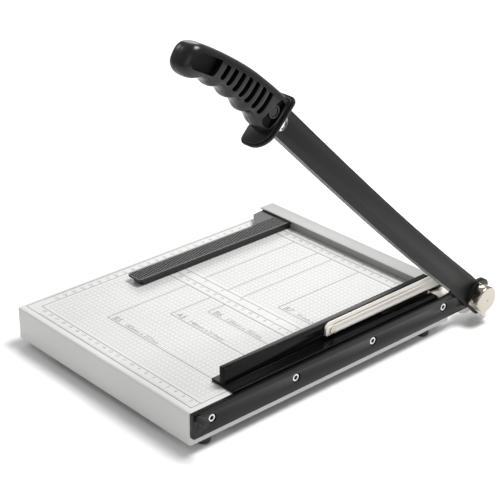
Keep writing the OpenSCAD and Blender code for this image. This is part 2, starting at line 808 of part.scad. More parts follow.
module clamp_bracket() {
  shoulder = 1;
  foot_below = 2;
  top_r = clamp_bracket_half - shoulder;
  color([0.10, 0.10, 0.105])
  difference() {
    on_bed()
    side_plate(clamp_bracket_x0, clamp_bracket_x1) {
      translate([arm_pin_back - clamp_bracket_half, 0])
        square([2 * clamp_bracket_half, leaf_low - foot_below]);
      translate([arm_pin_back - top_r, 0]) square([2 * top_r, arm_z]);
      translate([arm_pin_back, arm_z]) circle(top_r);
    }
    on_bed() translate([0, arm_pin_back, arm_z])
      bar_x(arm_pin_r + seat_gap, clamp_bracket_x0 - over, clamp_bracket_x1 + over);
    at_clamp_screw() bar_z(clamp_screw_r + seat_gap, -over, clamp_hole_top);
  }
}
module clamp_bracket_screw() {
  color([0.75, 0.75, 0.76])
  at_clamp_screw() {
    bar_z(clamp_screw_r, -sheet_t - eps, clamp_hole_top - slide_gap);
    bar_z(clamp_screw_r * head_factor, -sheet_t - clamp_screw_r * head_height, -sheet_t);
  }
}
module heel_plate() {
  color([0.84, 0.81, 0.76])
  difference() {
    on_bed() translate([heel_x0, heel_y0, 0]) cube([heel_w, heel_len, heel_t]);
    at_heel_rivets() bar_z(heel_rivet_r + seat_gap, -over, heel_t + over);
  }
}
module heel_rivets() {
  color([0.80, 0.78, 0.74])
  at_heel_rivets() {
    bar_z(heel_rivet_r, -sheet_t - eps, heel_t);
    bar_z(heel_rivet_r * rivet_head, -sheet_t - heel_rivet_head_t, -sheet_t);
  }
}

// The hinge
module hinge_bracket() {
  mid = -knife_screw_drop;
  top = mid + bracket_half_h - slide_gap;
  neck_out = 1;
  neck_y = fence_setback + neck_out;
  color([0.80, 0.78, 0.74])
  difference() {
    on_bed()
    side_plate(bracket_x0, bracket_x1) {
      polygon([
        [bracket_y0, mid - bracket_half_h], [neck_y, mid - bracket_half_h],
        [pivot_y, -pivot_drop - bracket_half_h], [pivot_y, top], [bracket_y0, top]
      ]);
      translate([pivot_y, -pivot_drop]) circle(lug_r);
    }
    on_bed()
      translate([bracket_x0 - over, pivot_y - lug_r - over, top])
        cube([bracket_t + 2 * over, 2 * lug_r + 2 * over, lug_r]);
    at_knife_screws() bar_x(knife_screw_r + seat_gap, bracket_x0 - over, bracket_x1 + over);
    on_bed() translate([0, pivot_y, -pivot_drop])
      bar_x(bolt_r + seat_gap, bracket_x0 - over, bracket_x1 + over);
  }
}
module pivot_bolt() {
  head_t = 5;
  color([0.78, 0.78, 0.78])
  on_bed()
  translate([0, pivot_y, -pivot_drop]) {
    bar_x(bolt_r, bracket_x0 - eps, bolt_x1);
    bar_x(bolt_head_r, bracket_x0 - head_t, bracket_x0);
  }
}
module pivot_spacer() {
  color([0.76, 0.72, 0.64])
  on_bed()
  translate([0, pivot_y, -pivot_drop])
  difference() {
    bar_x(spacer_r, bracket_x1, -knife_t);
    bar_x(bolt_r + seat_gap, bracket_x1 - over, -knife_t + over);
  }
}
// The blade lies level here, pointing to -Y from its pivot. Its two edges bow together.
bow_from = 25;
bow_steps = 16;
blade_heel = 40;
edge_us = [for (i = [0:bow_steps]) blade_heel + (guard_at - blade_heel) * i / bow_steps];
function bow(u) = u < bow_at ? bow_near * pow(1 - max(u, bow_from) / bow_at, 2)
  : bow_far * pow((u - bow_at) / (guard_at - bow_at), 2);
module blade() {
  tail_r = 5;
  tang_v0 = -grip_drop - tang_h / 2;
  tail_top = back_rise + bow(0);
  tail_low = bow(0) - edge_drop;
  upper = [for (u = concat([0, bow_from], edge_us)) [-u, back_rise + bow(u)]];
  lower = [for (i = [bow_steps:-1:0]) [-edge_us[i], bow(edge_us[i]) - edge_drop]];
  tail = [[-bow_from, tail_low], [0, tail_low]];
  tang = [
    [-guard_at, tang_v0 + tang_h], [-grip_at - tang_len, tang_v0 + tang_h],
    [-grip_at - tang_len, tang_v0], [-guard_at, tang_v0]
  ];
  color([0.17, 0.17, 0.18])
  on_arm()
  difference() {
    side_plate(blade_x0, blade_x1) {
      polygon(concat(upper, tang, lower, tail));
      translate([(blade_tail - bow_from) / 2, (tail_top + tail_low) / 2])
        round_rect(blade_tail + bow_from, tail_top - tail_low, tail_r);
    }
    bar_x(bolt_r + run_gap, blade_x0 - over, blade_x1 + over);
    translate([0, -guard_at + hang_in, -hang_drop]) bar_x(hang_r, blade_x0 - over, blade_x1 + over);
    translate([0, -grip_at - grip_screw_in, -grip_drop])
      bar_x(grip_screw_r + seat_gap, blade_x0 - over, blade_x1 + over);
    ground_away();
  }
}
// What is ground away below the bevel, along the bowed edge
module ground_away() {
  bevel_end = 0.5;
  section = [
    [blade_x1 + over, -over], [blade_x0 + bevel_end, -over], [blade_x0 + bevel_end, 0],
    [blade_x1, bevel_w], [blade_x1 + over, bevel_w + over]
  ];
  m = len(section);
  points = [for (u = edge_us) for (p = section) [p[0], -u, p[1] + bow(u) - edge_drop]];
  sides = [
    for (i = [0:bow_steps - 1])
      for (k = [0:m - 1])
        let (a = i * m + k, b = i * m + (k + 1) % m)
          each [[a, b, b + m], [a, b + m, a + m]]
  ];
  ends = [[for (k = [m - 1:-1:0]) k], [for (k = [0:m - 1]) bow_steps * m + k]];
  polyhedron(points = points, faces = concat(sides, ends), convexity = 4);
}
// One dished spring washer, from its inner face to its rim
module disc_spring(dir) {
  difference() {
    rotate_extrude()
      polygon([
        [bolt_r + run_gap, 0], [spring_r, dir * spring_dish],
        [spring_r, dir * (spring_dish + spring_t)], [bolt_r + run_gap, dir * spring_t]
      ]);
    cylinder(r = bolt_r + run_gap, h = 4 * spring_t, center = true);
  }
}
module disc_springs() {
  color([0.14, 0.14, 0.14])
  on_arm()
  translate([spring_x0, 0, 0])
  rotate([0, 90, 0]) {
    disc_spring(1);
    translate([0, 0, spring_stack]) disc_spring(-1);
  }
}
module hinge_plate() {
  color([0.84, 0.81, 0.76])
  on_arm()
  difference() {
    translate([plate_x0, -hinge_plate_front, -hinge_plate_h / 2 - plate_low])
      cube([hinge_plate_t, hinge_plate_len, hinge_plate_h]);
    bar_x(bolt_r + run_gap, plate_x0 - over, plate_x1 + over);
  }
}
module cap_nut() {
  chamfer = 1.6;
  dimple_r = 1.5;
  dimple = 0.5;
  color([0.85, 0.82, 0.77])
  on_bed()
  translate([cap_x0, pivot_y, -pivot_drop])
  rotate([0, 90, 0])
  difference() {
    rotate_extrude()
      polygon([
        [0, 0], [cap_r, 0], [cap_r, cap_t - chamfer], [cap_r - chamfer, cap_t],
        [dimple_r, cap_t], [0, cap_t - dimple]
      ]);
    translate([0, 0, -over]) cylinder(r = bolt_r + seat_gap, h = cap_t - cap_skin + over);
  }
}

// The handle: a finger guard and two grip shells that clamp the blade's tang
module guard_outline(inset) {
  half = guard_w / 2;
  hull() {
    for (side = [-1, 1])
      translate([side * (half - guard_r), guard_up - guard_r]) circle(guard_r - inset);
    translate([guard_r - half, guard_r - guard_down]) circle(guard_r - inset);
    translate([half - guard_low_r, guard_low_r - guard_down]) circle(guard_low_r - inset);
  }
}
module finger_guard() {
  rim_in = 0.8;
  slot_gap = 0.1;
  color([0.09, 0.09, 0.095])
  on_arm()
  difference() {
    translate([blade_mid, -guard_at, 0])
    rotate([90, 0, 0]) {
      linear_extrude(guard_t - guard_step + eps) guard_outline(0);
      translate([0, 0, guard_t - guard_step])
        linear_extrude(guard_step) guard_outline(guard_step + rim_in);
    }
    translate([blade_x0 - slot_gap, -grip_at - over, -grip_drop - tang_h / 2 - slot_gap])
      cube([blade_t + 2 * slot_gap, guard_t + 2 * over, tang_h + 2 * slot_gap]);
  }
}

// Half of the grip, on the +X side of the split plane
module grip_half_form() {
  n = len(grip_stations);
  m = ring_sides + 1;
  points = [for (s = grip_stations) for (k = [0:ring_sides]) grip_point(s, 180 * k / ring_sides)];
  sides = [
    for (i = [0:n - 2])
      for (k = [0:ring_sides - 1])
        each [
          [i * m + k, i * m + k + 1, (i + 1) * m + k + 1],
          [i * m + k, (i + 1) * m + k + 1, (i + 1) * m + k]
        ]
  ];
  split = [
    for (i = [0:n - 2])
      each [
        [i * m, (i + 1) * m, (i + 1) * m + ring_sides],
        [i * m, (i + 1) * m + ring_sides, i * m + ring_sides]
      ]
  ];
  caps = [
    for (k = [1:ring_sides - 1])
      each [
        [0, k + 1, k],
        [(n - 1) * m, (n - 1) * m + k, (n - 1) * m + k + 1]
      ]
  ];
  polyhedron(points = points, faces = concat(sides, split, caps), convexity = 6);
}
// The slots and the sunk side panel, cut into a half grip's face
module grip_side_cuts() {
  first = 22.5;
  floor_x = grip_w / 2 - slot_depth;
  panel_x = grip_w / 2 - panel_depth;
  slot_low = -14.4;
  slot_top_in = 7;
  panel_gap = 7.9;
  panel_len = 22.4;
  panel_inset = 5.5;
  panel_step = 2;
  panel_point = 4;
  for (i = [0:slot_n - 1]) {
    s = first + i * slot_pitch;
    top = grip_mid(s) + grip_half(s) - slot_top_in;
    translate([floor_x, -s - slot_w / 2, slot_low]) cube([slot_depth + over, slot_w, top - slot_low]);
  }
  p0 = first + (slot_n - 1) * slot_pitch + panel_gap;
  p1 = p0 + panel_len;
  side_plate(panel_x, grip_w / 2 + over)
    polygon([
      [-p0, grip_mid(p0) + grip_half(p0) - panel_inset],
      [-p0, grip_mid(p0) - grip_half(p0) + panel_inset + panel_step],
      [-p1, grip_mid(p1) - grip_half(p1) + panel_inset + panel_step], [-p1 - panel_point, grip_mid(p1)],
      [-p1, grip_mid(p1) + grip_half(p1) - panel_inset]
    ]);
}
module tang_pocket() {
  gap = 0.05;
  translate([-blade_t / 2 - gap, -tang_len - gap, -grip_drop - tang_h / 2 - gap])
    cube([blade_t + 2 * gap, tang_len + gap + over, tang_h + 2 * gap]);
}
module at_front_screw() translate([0, -grip_screw_in, -grip_drop]) children();
module at_rear_screw() translate([0, -grip_rear_screw_in, -grip_rear_screw_drop]) children();
head_pocket = 4;
nut_pocket = 5;
rear_pocket = 5;
rear_tip_wall = 3;
front_head_x = grip_w / 2 - head_pocket;
nut_seat_x = -grip_w / 2 + nut_pocket;
rear_head_x = -grip_w / 2 + rear_pocket;
rear_tip_x = grip_w / 2 - panel_depth - rear_tip_wall;
module on_grip() on_arm() translate([blade_mid, -grip_at, 0]) children();
module handle_outer() {
  color([0.10, 0.10, 0.105])
  on_grip()
  difference() {
    grip_half_form();
    grip_side_cuts();
    tang_pocket();
    at_front_screw() bar_x(grip_screw_r + seat_gap, -over, grip_w);
    at_front_screw() bar_x(grip_screw_r * head_factor + slide_gap, front_head_x, grip_w);
    at_rear_screw() bar_x(grip_screw_r + seat_gap, -over, rear_tip_x + slide_gap);
  }
}
module handle_inner() {
  color([0.10, 0.10, 0.105])
  on_grip()
  difference() {
    mirror([1, 0, 0]) grip_half_form();
    mirror([1, 0, 0]) grip_side_cuts();
    tang_pocket();
    at_front_screw() bar_x(grip_screw_r + seat_gap, -grip_w, over);
    at_front_screw() bar_x(grip_screw_r * nut_factor + slide_gap, -grip_w, nut_seat_x);
    at_rear_screw() bar_x(grip_screw_r + seat_gap, -grip_w, over);
    at_rear_screw() bar_x(grip_screw_r * head_factor + slide_gap, -grip_w, rear_head_x);
  }
}
module handle_screws() {
  head_t = grip_screw_r * head_height;
  color([0.72, 0.72, 0.73])
  on_grip() {
    at_front_screw() {
      bar_x(grip_screw_r, nut_seat_x - grip_screw_r * nut_height, front_head_x + eps);
      bar_x(grip_screw_r * head_factor, front_head_x, front_head_x + head_t);
    }
    at_rear_screw() {
      bar_x(grip_screw_r, rear_head_x - eps, rear_tip_x);
      bar_x(grip_screw_r * head_factor, rear_head_x - head_t, rear_head_x);
    }
  }
}
module handle_nut() {
  color([0.72, 0.72, 0.73])
  on_grip() at_front_screw() nut_x(grip_screw_r, nut_seat_x - grip_screw_r * nut_height);
}

tray();
corner_plates();
foot_front_left();
foot_front_right();
foot_rear_left();
foot_rear_right();
foot_screws();
foot_nuts();
fence();
fence_screws();
side_guide();
guide_magnet();
bed_knife();
knife_screws();
knife_nuts();
stop_stud();
stop_bumper();
press_bar();
clamp_arm_inner();
clamp_arm_outer();
arm_rivet();
arm_pin();
clamp_bracket();
clamp_bracket_screw();
heel_plate();
heel_rivets();
hinge_bracket();
pivot_bolt();
pivot_spacer();
blade();
disc_springs();
hinge_plate();
cap_nut();
finger_guard();
handle_outer();
handle_inner();
handle_screws();
handle_nut();
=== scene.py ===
"""Looks of the lever paper cutter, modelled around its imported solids.

Pieces are drawn in millimetres, from the bed's corner (the cutting plane, the fence's face and the
bed's top) or from the blade's pivot as if the blade lay level, and are then set in the shared frame.
"""
import json
import math

import bmesh
import bpy
from mathutils import Matrix, Vector


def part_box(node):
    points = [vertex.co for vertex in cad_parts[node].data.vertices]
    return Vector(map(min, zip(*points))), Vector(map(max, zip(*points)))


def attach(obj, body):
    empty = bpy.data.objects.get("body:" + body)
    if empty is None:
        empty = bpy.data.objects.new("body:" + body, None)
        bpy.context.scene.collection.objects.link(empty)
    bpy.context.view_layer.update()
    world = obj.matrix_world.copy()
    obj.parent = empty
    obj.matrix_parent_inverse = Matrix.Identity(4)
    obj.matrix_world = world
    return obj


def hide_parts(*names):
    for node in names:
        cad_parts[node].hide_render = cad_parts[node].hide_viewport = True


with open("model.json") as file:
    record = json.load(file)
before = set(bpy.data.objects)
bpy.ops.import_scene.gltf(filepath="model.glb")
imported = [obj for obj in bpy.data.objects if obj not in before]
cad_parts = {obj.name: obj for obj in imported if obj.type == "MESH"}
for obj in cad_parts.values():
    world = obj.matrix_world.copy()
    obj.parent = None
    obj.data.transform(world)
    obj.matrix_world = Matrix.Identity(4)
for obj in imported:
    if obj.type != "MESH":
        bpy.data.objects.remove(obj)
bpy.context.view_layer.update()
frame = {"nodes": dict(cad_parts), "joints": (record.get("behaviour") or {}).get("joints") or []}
nodes = frame["nodes"]

MM = 0.001

# Tray and fence
SHEET = 1.2
TRAY_EDGE = 2.5
BRACKET_HALF_H = 7.3
SLIDE_GAP = 0.3
FENCE_LIP = 3.0
FENCE_WALL = 1.7

# Places in the shared frame, in metres, and the blade's slope at rest
knife_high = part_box("bed_knife")[1]
BED = Vector((knife_high.x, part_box("fence")[0].y + FENCE_LIP * MM, knife_high.z))
hinge = next(j for j in frame["joints"] if j["name"] == "blade_swing")
PIVOT = Vector(hinge["pos_m"])
REST = math.radians(44)


def on_bed_mm(node):
    """A node's corners in millimetres from the bed's corner."""
    low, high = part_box(node)
    return (low - BED) / MM, (high - BED) / MM


tray_low, tray_high = on_bed_mm("tray")
fence_low, fence_high = on_bed_mm("fence")
guide_low, guide_high = on_bed_mm("side_guide")
bar_low, bar_high = on_bed_mm("press_bar")
inner_low, inner_high = on_bed_mm("clamp_arm_inner")
outer_low, outer_high = on_bed_mm("clamp_arm_outer")
cap_low, cap_high = on_bed_mm("cap_nut")
rivet_low, rivet_high = on_bed_mm("arm_rivet")
rivet_mid = (rivet_low + rivet_high) / 2
pivot_y = (PIVOT.y - BED.y) / MM
pivot_z = (PIVOT.z - BED.z) / MM

# Knife bar
KNIFE_T = 5.2
KNIFE_H = 23.0
KNIFE_TAIL = 20.5
KNIFE_END_R = 8.0
SCREW_YS = (-286.8, -190.7, -94.6, 1.5)
SCREW_Z = -10.3
SCREW_HOLE_R = 2.55
SEAT_R = 4.5
SEAT_DEPTH = 2.5
STOP_Y = -302.0
STOP_Z = -4.8
STUD_HOLE_R = 1.85
BOLT_R = 5.05

# Blade, level from its pivot
BLADE_X0 = 0.1
BLADE_X1 = 3.1
BLADE_MID = 1.6
EDGE_DROP = 18.7
BACK_RISE = 6.8
BOW_AT = 200.0
BOW_NEAR = 5.6
BOW_FAR = 1.6
BOW_FROM = 25.0
BLADE_TAIL = 19.0
TAIL_R = 5.0
GUARD_AT = 368.0
GUARD_T = 4.0
HANG_U = 356.5
HANG_V = -4.8
HANG_R = 6.5
BEVEL_W = 1.6
BEVEL_END = 0.5
HEEL_U = 40.0
TANG_LEN = 62.0
TANG_H = 15.0

# Grip, from the guard
GRIP_AT = GUARD_AT + GUARD_T
GRIP_LEN = 112.0
GRIP_W = 26.0
ROOT_H = 34.2
WAIST_H = 27.4
KNOB_H = 27.4
GRIP_DROP = 4.9
STRAIGHT = 34.0
BEND_R = 206.0
LEAN = 0.5
GRIP_END = 13.0
END_POWER = 3
END_POWER_LOW = 2.4
END_LEAST = 0.12
KNOB_LEN = 27.0
KNOB_RISE = 12.0
WAIST_S = GRIP_LEN - KNOB_LEN
GROOVE_DEPTH = 2.8
GROOVE_PITCH = 21.0
GROOVE_FIRST = 23.0
GROOVE_N = 4
GROOVE_CREST = 4
SLOT_W = 4.6
SLOT_PITCH = 8.7
SLOT_N = 7
SLOT_FIRST = 22.5
SLOT_DEPTH = 7.5
SLOT_FLOOR = GRIP_W / 2 - SLOT_DEPTH
PANEL_DEPTH = 5.0
PANEL_FLOOR = GRIP_W / 2 - PANEL_DEPTH
POCKET_FLOOR = 9.2
SCREW_S = 9.0
GRIP_HOLE_R = 2.02

# How far a cutter runs past the faces it opens
OVER = 1.0

# Faces and edges are picked by place and direction, within these
TINY = 0.001
NEAR = 0.1
FACING = 0.9
ALONG = 0.99

# Edges flatter than this, in degrees, are shaded smooth
SMOOTH = 35


# Modelling steps

def leave():
    """Back from edit mode."""
    if bpy.context.mode != "OBJECT":
        bpy.ops.object.mode_set(mode="OBJECT")


def deselect():
    leave()
    bpy.ops.object.select_all(action="DESELECT")


def work_on(piece):
    deselect()
    piece.select_set(True)
    bpy.context.view_layer.objects.active = piece


def named(name):
    piece = bpy.context.object
    piece.name = name
    piece.data.name = name
    return piece


def block(name, low, high):
    """A box between two corners."""
    deselect()
    low, high = Vector(low), Vector(high)
    bpy.ops.mesh.primitive_cube_add(size=1, location=(low + high) / 2)
    bpy.context.object.scale = high - low
    bpy.ops.object.transform_apply(location=True, rotation=True, scale=True)
    return named(name)


def rod(name, radius, x0, x1, y, z, sides=48):
    """A round bar along X."""
    deselect()
    bpy.ops.mesh.primitive_cylinder_add(
        vertices=sides,
        radius=radius,
        depth=x1 - x0,
        location=((x0 + x1) / 2, y, z),
        rotation=(0, math.pi / 2, 0),
    )
    bpy.ops.object.transform_apply(location=True, rotation=True, scale=True)
    return named(name)


def swept(name, points, steps):
    """A face, drawn point by point and filled, that is extruded step by step."""
    deselect()
    bpy.ops.mesh.primitive_plane_add(size=1, location=points[0])
    piece = named(name)
    bpy.ops.object.transform_apply(location=True, rotation=True, scale=True)
    bpy.ops.object.mode_set(mode="EDIT")
    bpy.context.tool_settings.mesh_select_mode = (True, False, False)
    bpy.ops.mesh.select_all(action="SELECT")
    bpy.ops.mesh.merge(type="CENTER")
    for start, end in zip(points, points[1:]):
        bpy.ops.mesh.extrude_vertices_move(TRANSFORM_OT_translate={"value": end - start})
    bpy.ops.mesh.select_all(action="SELECT")
    bpy.ops.mesh.edge_face_add()
    for step in steps:
        bpy.ops.mesh.extrude_region_move(TRANSFORM_OT_translate={"value": step})
    bpy.ops.mesh.select_all(action="SELECT")
    bpy.ops.mesh.normals_make_consistent(inside=False)
    bpy.ops.object.mode_set(mode="OBJECT")
    return piece


def drawn(name, axis, outline, a0, a1):
    """A plate across an axis: its outline is drawn, filled and extruded from a0 to a1."""
    spread = {"X": lambda p, q: (0, p, q), "Y": lambda p, q: (p, 0, q), "Z": lambda p, q: (p, q, 0)}[axis]
    along = {"X": Vector((1, 0, 0)), "Y": Vector((0, 1, 0)), "Z": Vector((0, 0, 1))}[axis]
    return swept(name, [Vector(spread(*p)) + along * a0 for p in outline], [along * (a1 - a0)])


def arc(cy, cz, radius, start, end, steps):
    """Points of an arc, with its angles in degrees."""
    turns = [math.radians(start + (end - start) * i / steps) for i in range(steps + 1)]
    return [(cy + radius * math.cos(t), cz + radius * math.sin(t)) for t in turns]


def round_box(y0, y1, z0, z1, radius, steps=4):
    """The outline of a rectangle with round corners."""
    return (
        arc(y0 + radius, z0 + radius, radius, 180, 270, steps)
        + arc(y1 - radius, z0 + radius, radius, 270, 360, steps)
        + arc(y1 - radius, z1 - radius, radius, 0, 90, steps)
        + arc(y0 + radius, z1 - radius, radius, 90, 180, steps)
    )


def pick(piece, kind, test):
    """Edit mode, with only the vertices, edges or faces selected that pass the test."""
    work_on(piece)
    bpy.ops.object.mode_set(mode="EDIT")
    bpy.context.tool_settings.mesh_select_mode = (kind == "VERT", kind == "EDGE", kind == "FACE")
    bpy.ops.mesh.select_all(action="DESELECT")
    mesh = bmesh.from_edit_mesh(piece.data)
    for element in {"VERT": mesh.verts, "EDGE": mesh.edges, "FACE": mesh.faces}[kind]:
        if test(element):
            element.select_set(True)
    mesh.select_flush_mode()
    bmesh.update_edit_mesh(piece.data)


def middle(edge):
    return (edge.verts[0].co + edge.verts[1].co) / 2


def runs_along(edge, axis):
    way = edge.verts[1].co - edge.verts[0].co
    return abs(way[axis]) > ALONG * way.length


def apply_last(piece):
    bpy.ops.object.modifier_apply(modifier=piece.modifiers[-1].name)


def cut(piece, *tools, how="DIFFERENCE"):
    """Cuts pieces out of a piece, or joins them to it, and removes them."""
    for tool in tools:
        work_on(piece)
        bpy.ops.object.modifier_add(type="BOOLEAN")
        step = piece.modifiers[-1]
        step.operation = how
        step.solver = "EXACT"
        step.object = tool
        apply_last(piece)
        bpy.data.objects.remove(tool)


def row(piece, count, step):
    """Repeats a piece in a row inside its own mesh."""
    work_on(piece)
    bpy.ops.object.modifier_add(type="ARRAY")
    array = piece.modifiers[-1]
    array.count = count
    array.use_relative_offset = False
    array.use_constant_offset = True
    array.constant_offset_displace = step
    apply_last(piece)


def smooth(angle=SMOOTH):
    bpy.ops.object.shade_smooth_by_angle(angle=math.radians(angle))


def soften(piece, width, segments=2, angle=SMOOTH):
    """Rounds the sharp edges a little and shades the rest smooth."""
    work_on(piece)
    bpy.ops.object.modifier_add(type="BEVEL")
    bevel = piece.modifiers[-1]
    bevel.width = width
    bevel.segments = segments
    bevel.limit_method = "ANGLE"
    bevel.angle_limit = math.radians(angle)
    apply_last(piece)
    smooth(angle)


def gather(name, pieces):
    """Joins pieces into one mesh."""
    deselect()
    for piece in pieces:
        piece.select_set(True)
    bpy.context.view_layer.objects.active = pieces[0]
    bpy.ops.object.join()
    return named(name)


def copied(piece, name):
    work_on(piece)
    bpy.ops.object.duplicate()
    return named(name)


def set_down(piece, place, body, finishes, stands_for=()):
    """Sets a finished piece in the shared frame, with its body, finish and the nodes it stands for."""
    work_on(piece)
    piece.matrix_world = place @ Matrix.Scale(MM, 4)
    bpy.ops.object.transform_apply(location=True, rotation=True, scale=True)
    if not piece.data.materials:
        for finish in finishes:
            piece.data.materials.append(finish)
    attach(piece, body)
    if stands_for:
        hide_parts(*stands_for)


ON_BED = Matrix.Translation(BED)
ON_ARM = Matrix.Translation(PIVOT) @ Matrix.Rotation(-REST, 4, "X")


# Finishes

# A noise keeps mostly between these
NOISE_LOW = 0.3
NOISE_HIGH = 0.7

# Scale of the wandering colour, detail of every noise, and height of the relief in metres
BROAD = 18
DETAIL = 2.0
RELIEF = 0.0002


def new_finish(name):
    finish = bpy.data.materials.new(name)
    finish.use_nodes = True
    tree = finish.node_tree
    return finish, tree, tree.nodes["Principled BSDF"]


def grain(tree, scale, stretch=(1, 1, 1)):
    """A fine noise on the piece's own coordinates, finer with a larger scale."""
    place = tree.nodes.new("ShaderNodeTexCoord")
    turn = tree.nodes.new("ShaderNodeMapping")
    turn.inputs["Scale"].default_value = stretch
    noise = tree.nodes.new("ShaderNodeTexNoise")
    noise.inputs["Scale"].default_value = scale
    noise.inputs["Detail"].default_value = DETAIL
    tree.links.new(place.outputs["Object"], turn.inputs["Vector"])
    tree.links.new(turn.outputs["Vector"], noise.inputs["Vector"])
    return noise.outputs["Fac"]


def between(tree, fac, low, high):
    """A colour that wanders between two."""
    ramp = tree.nodes.new("ShaderNodeValToRGB")
    ramp.color_ramp.elements[0].position = NOISE_LOW
    ramp.color_ramp.elements[1].position = NOISE_HIGH
    ramp.color_ramp.elements[0].color = (*low, 1)
    ramp.color_ramp.elements[1].color = (*high, 1)
    tree.links.new(fac, ramp.inputs["Fac"])
    return ramp.outputs["Color"]


def wander(tree, fac, low, high):
    """A number that wanders between two."""
    span = tree.nodes.new("ShaderNodeMapRange")
    span.inputs["From Min"].default_value = NOISE_LOW
    span.inputs["From Max"].default_value = NOISE_HIGH
    span.inputs["To Min"].default_value = low
    span.inputs["To Max"].default_value = high
    tree.links.new(fac, span.inputs["Value"])
    return span.outputs["Result"]


def raised(tree, fac, strength):
    bump = tree.nodes.new("ShaderNodeBump")
    bump.inputs["Strength"].default_value = strength
    bump.inputs["Distance"].default_value = RELIEF
    tree.links.new(fac, bump.inputs["Height"])
    return bump.outputs["Normal"]


def coated(name, low, high, rough, texture, relief, metal=0.0, stretch=(1, 1, 1), shine=0.5):
    """A surface with wandering colour and gloss and a fine relief."""
    finish, tree, shader = new_finish(name)
    broad = grain(tree, BROAD)
    fine = grain(tree, texture, stretch)
    tree.links.new(between(tree, broad, low, high), shader.inputs["Base Color"])
    tree.links.new(wander(tree, fine, *rough), shader.inputs["Roughness"])
    tree.links.new(raised(tree, fine, relief), shader.inputs["Normal"])
    shader.inputs["Metallic"].default_value = metal
    shader.inputs["Specular IOR Level"].default_value = shine
    return finish


# How far the brushed plates' grain is squeezed across them
BRUSHED = (8, 0.5, 8)
GROUND = (8, 1, 8)

tray_paint = coated("tray_paint", (0.60, 0.60, 0.585), (0.62, 0.62, 0.605), (0.42, 0.50), 900, 0.10)
fence_paint = coated("fence_paint", (0.35, 0.352, 0.34), (0.38, 0.382, 0.37), (0.36, 0.44), 900, 0.12)
print_ink = coated("print_ink", (0.09, 0.09, 0.10), (0.13, 0.13, 0.14), (0.50, 0.60), 2500, 0.05)
grid_ink = coated("grid_ink", (0.21, 0.21, 0.22), (0.27, 0.27, 0.28), (0.50, 0.60), 2500, 0.05)
guide_plastic = coated(
    "guide_plastic", (0.013, 0.013, 0.014), (0.018, 0.018, 0.019), (0.37, 0.44), 1600, 0.08, shine=0.44
)
knife_black = coated(
    "knife_black", (0.006, 0.006, 0.007), (0.010, 0.010, 0.011), (0.18, 0.24), 1200, 0.03, shine=0.24
)
press_black = coated(
    "press_black", (0.002, 0.002, 0.0025), (0.004, 0.004, 0.0045), (0.14, 0.20), 1500, 0.02, shine=0.12
)
bright_nickel = coated(
    "bright_nickel", (0.50, 0.46, 0.40), (0.54, 0.50, 0.44), (0.16, 0.22), 500, 0.02,
    metal=1.0, stretch=BRUSHED,
)
satin_nickel = coated(
    "satin_nickel", (0.76, 0.73, 0.68), (0.79, 0.76, 0.71), (0.42, 0.46), 500, 0.01,
    metal=0.5, stretch=BRUSHED,
)
zinc_plate = coated(
    "zinc_plate", (0.66, 0.66, 0.67), (0.78, 0.78, 0.79), (0.22, 0.34), 1400, 0.08, metal=1.0
)
blade_coat = coated(
    "blade_coat", (0.004, 0.004, 0.0045), (0.007, 0.007, 0.0075), (0.48, 0.52), 1400, 0.02, shine=0.32
)
ground_steel = coated(
    "ground_steel", (0.34, 0.34, 0.335), (0.42, 0.42, 0.415), (0.30, 0.38), 700, 0.03,
    metal=1.0, stretch=GROUND,
)
spring_black = coated(
    "spring_black", (0.020, 0.020, 0.020), (0.030, 0.029, 0.028), (0.30, 0.42), 1200, 0.10, metal=0.6
)
handle_plastic = coated(
    "handle_plastic", (0.005, 0.005, 0.006), (0.008, 0.008, 0.009), (0.24, 0.31), 1800, 0.05, shine=0.4
)
# Painted shade: a darker, duller copy of the handle's plastic for the floors and walls of the grip's slots,
# panel and pocket, where shade falls.
recess_painted_shade = coated(
    "recess_painted_shade", (0.0015, 0.0015, 0.002), (0.003, 0.003, 0.0035), (0.40, 0.50), 1800, 0.05, shine=0.12
)
foot_rubber = coated("foot_rubber", (0.014, 0.014, 0.014), (0.024, 0.024, 0.023), (0.70, 0.84), 1100, 0.30)
magnet_strip = coated("magnet_strip", (0.050, 0.044, 0.040), (0.070, 0.062, 0.056), (0.60, 0.75), 900, 0.25)
black_screw = coated(
    "black_screw", (0.020, 0.020, 0.021), (0.035, 0.035, 0.036), (0.28, 0.38), 1500, 0.10, metal=0.5
)


# The tray

def tray_shell():
    bracket_low, bracket_high = on_bed_mm("hinge_bracket")
    tray = block("tray_shell", tray_low, tray_high)
    pick(tray, "EDGE", lambda e: runs_along(e, 2) or middle(e).z > -NEAR)
    bpy.ops.mesh.bevel(offset=TRAY_EDGE, segments=6, affect="EDGES")
    pick(tray, "FACE", lambda f: f.normal.z < -FACING)
    bpy.ops.mesh.delete(type="FACE")
    leave()
    bpy.ops.object.modifier_add(type="SOLIDIFY")
    wall = tray.modifiers[-1]
    wall.thickness = SHEET
    wall.offset = -1
    apply_last(tray)
    slot = block(
        "bracket_slot",
        (bracket_low.x - SLIDE_GAP, tray_high.y - SHEET - OVER, tray_low.z - OVER),
        (bracket_high.x, tray_high.y + OVER, SCREW_Z + BRACKET_HALF_H),
    )
    cut(tray, slot)
    smooth()
    set_down(tray, ON_BED, "base", [tray_paint], ["tray"])


# The print on the bed

INK_LOW = -0.02
INK_TOP = 0.04
LINE_W = 0.6
TICK_W = 0.15
FRONT_LINE = -300.0
FRONT_INNER = -289.5
LEFT_LINE = -249.7
LEFT_INNER = -239.7
RIGHT_LINE = -11.5
RIGHT_LINE_END = -4
MID_RULER = (-161.0, -151.0, -140.6)
BACK_RULER = (-20.5, -10.0)
SHEETS = (("B5", 182, 257), ("A5", 148, 210), ("B6", 128, 182), ("B7", 91, 128))
CM = 10
INCH = 25.4
INCHES = 9

# Steps of the rulers' ticks, in millimetres or in parts of an inch, with the ticks' lengths
CM_TICKS = ((1, 1.8), (5, 2.8), (10, 3.6))
INCH_TICKS = ((8, 2.2), (2, 3.2))

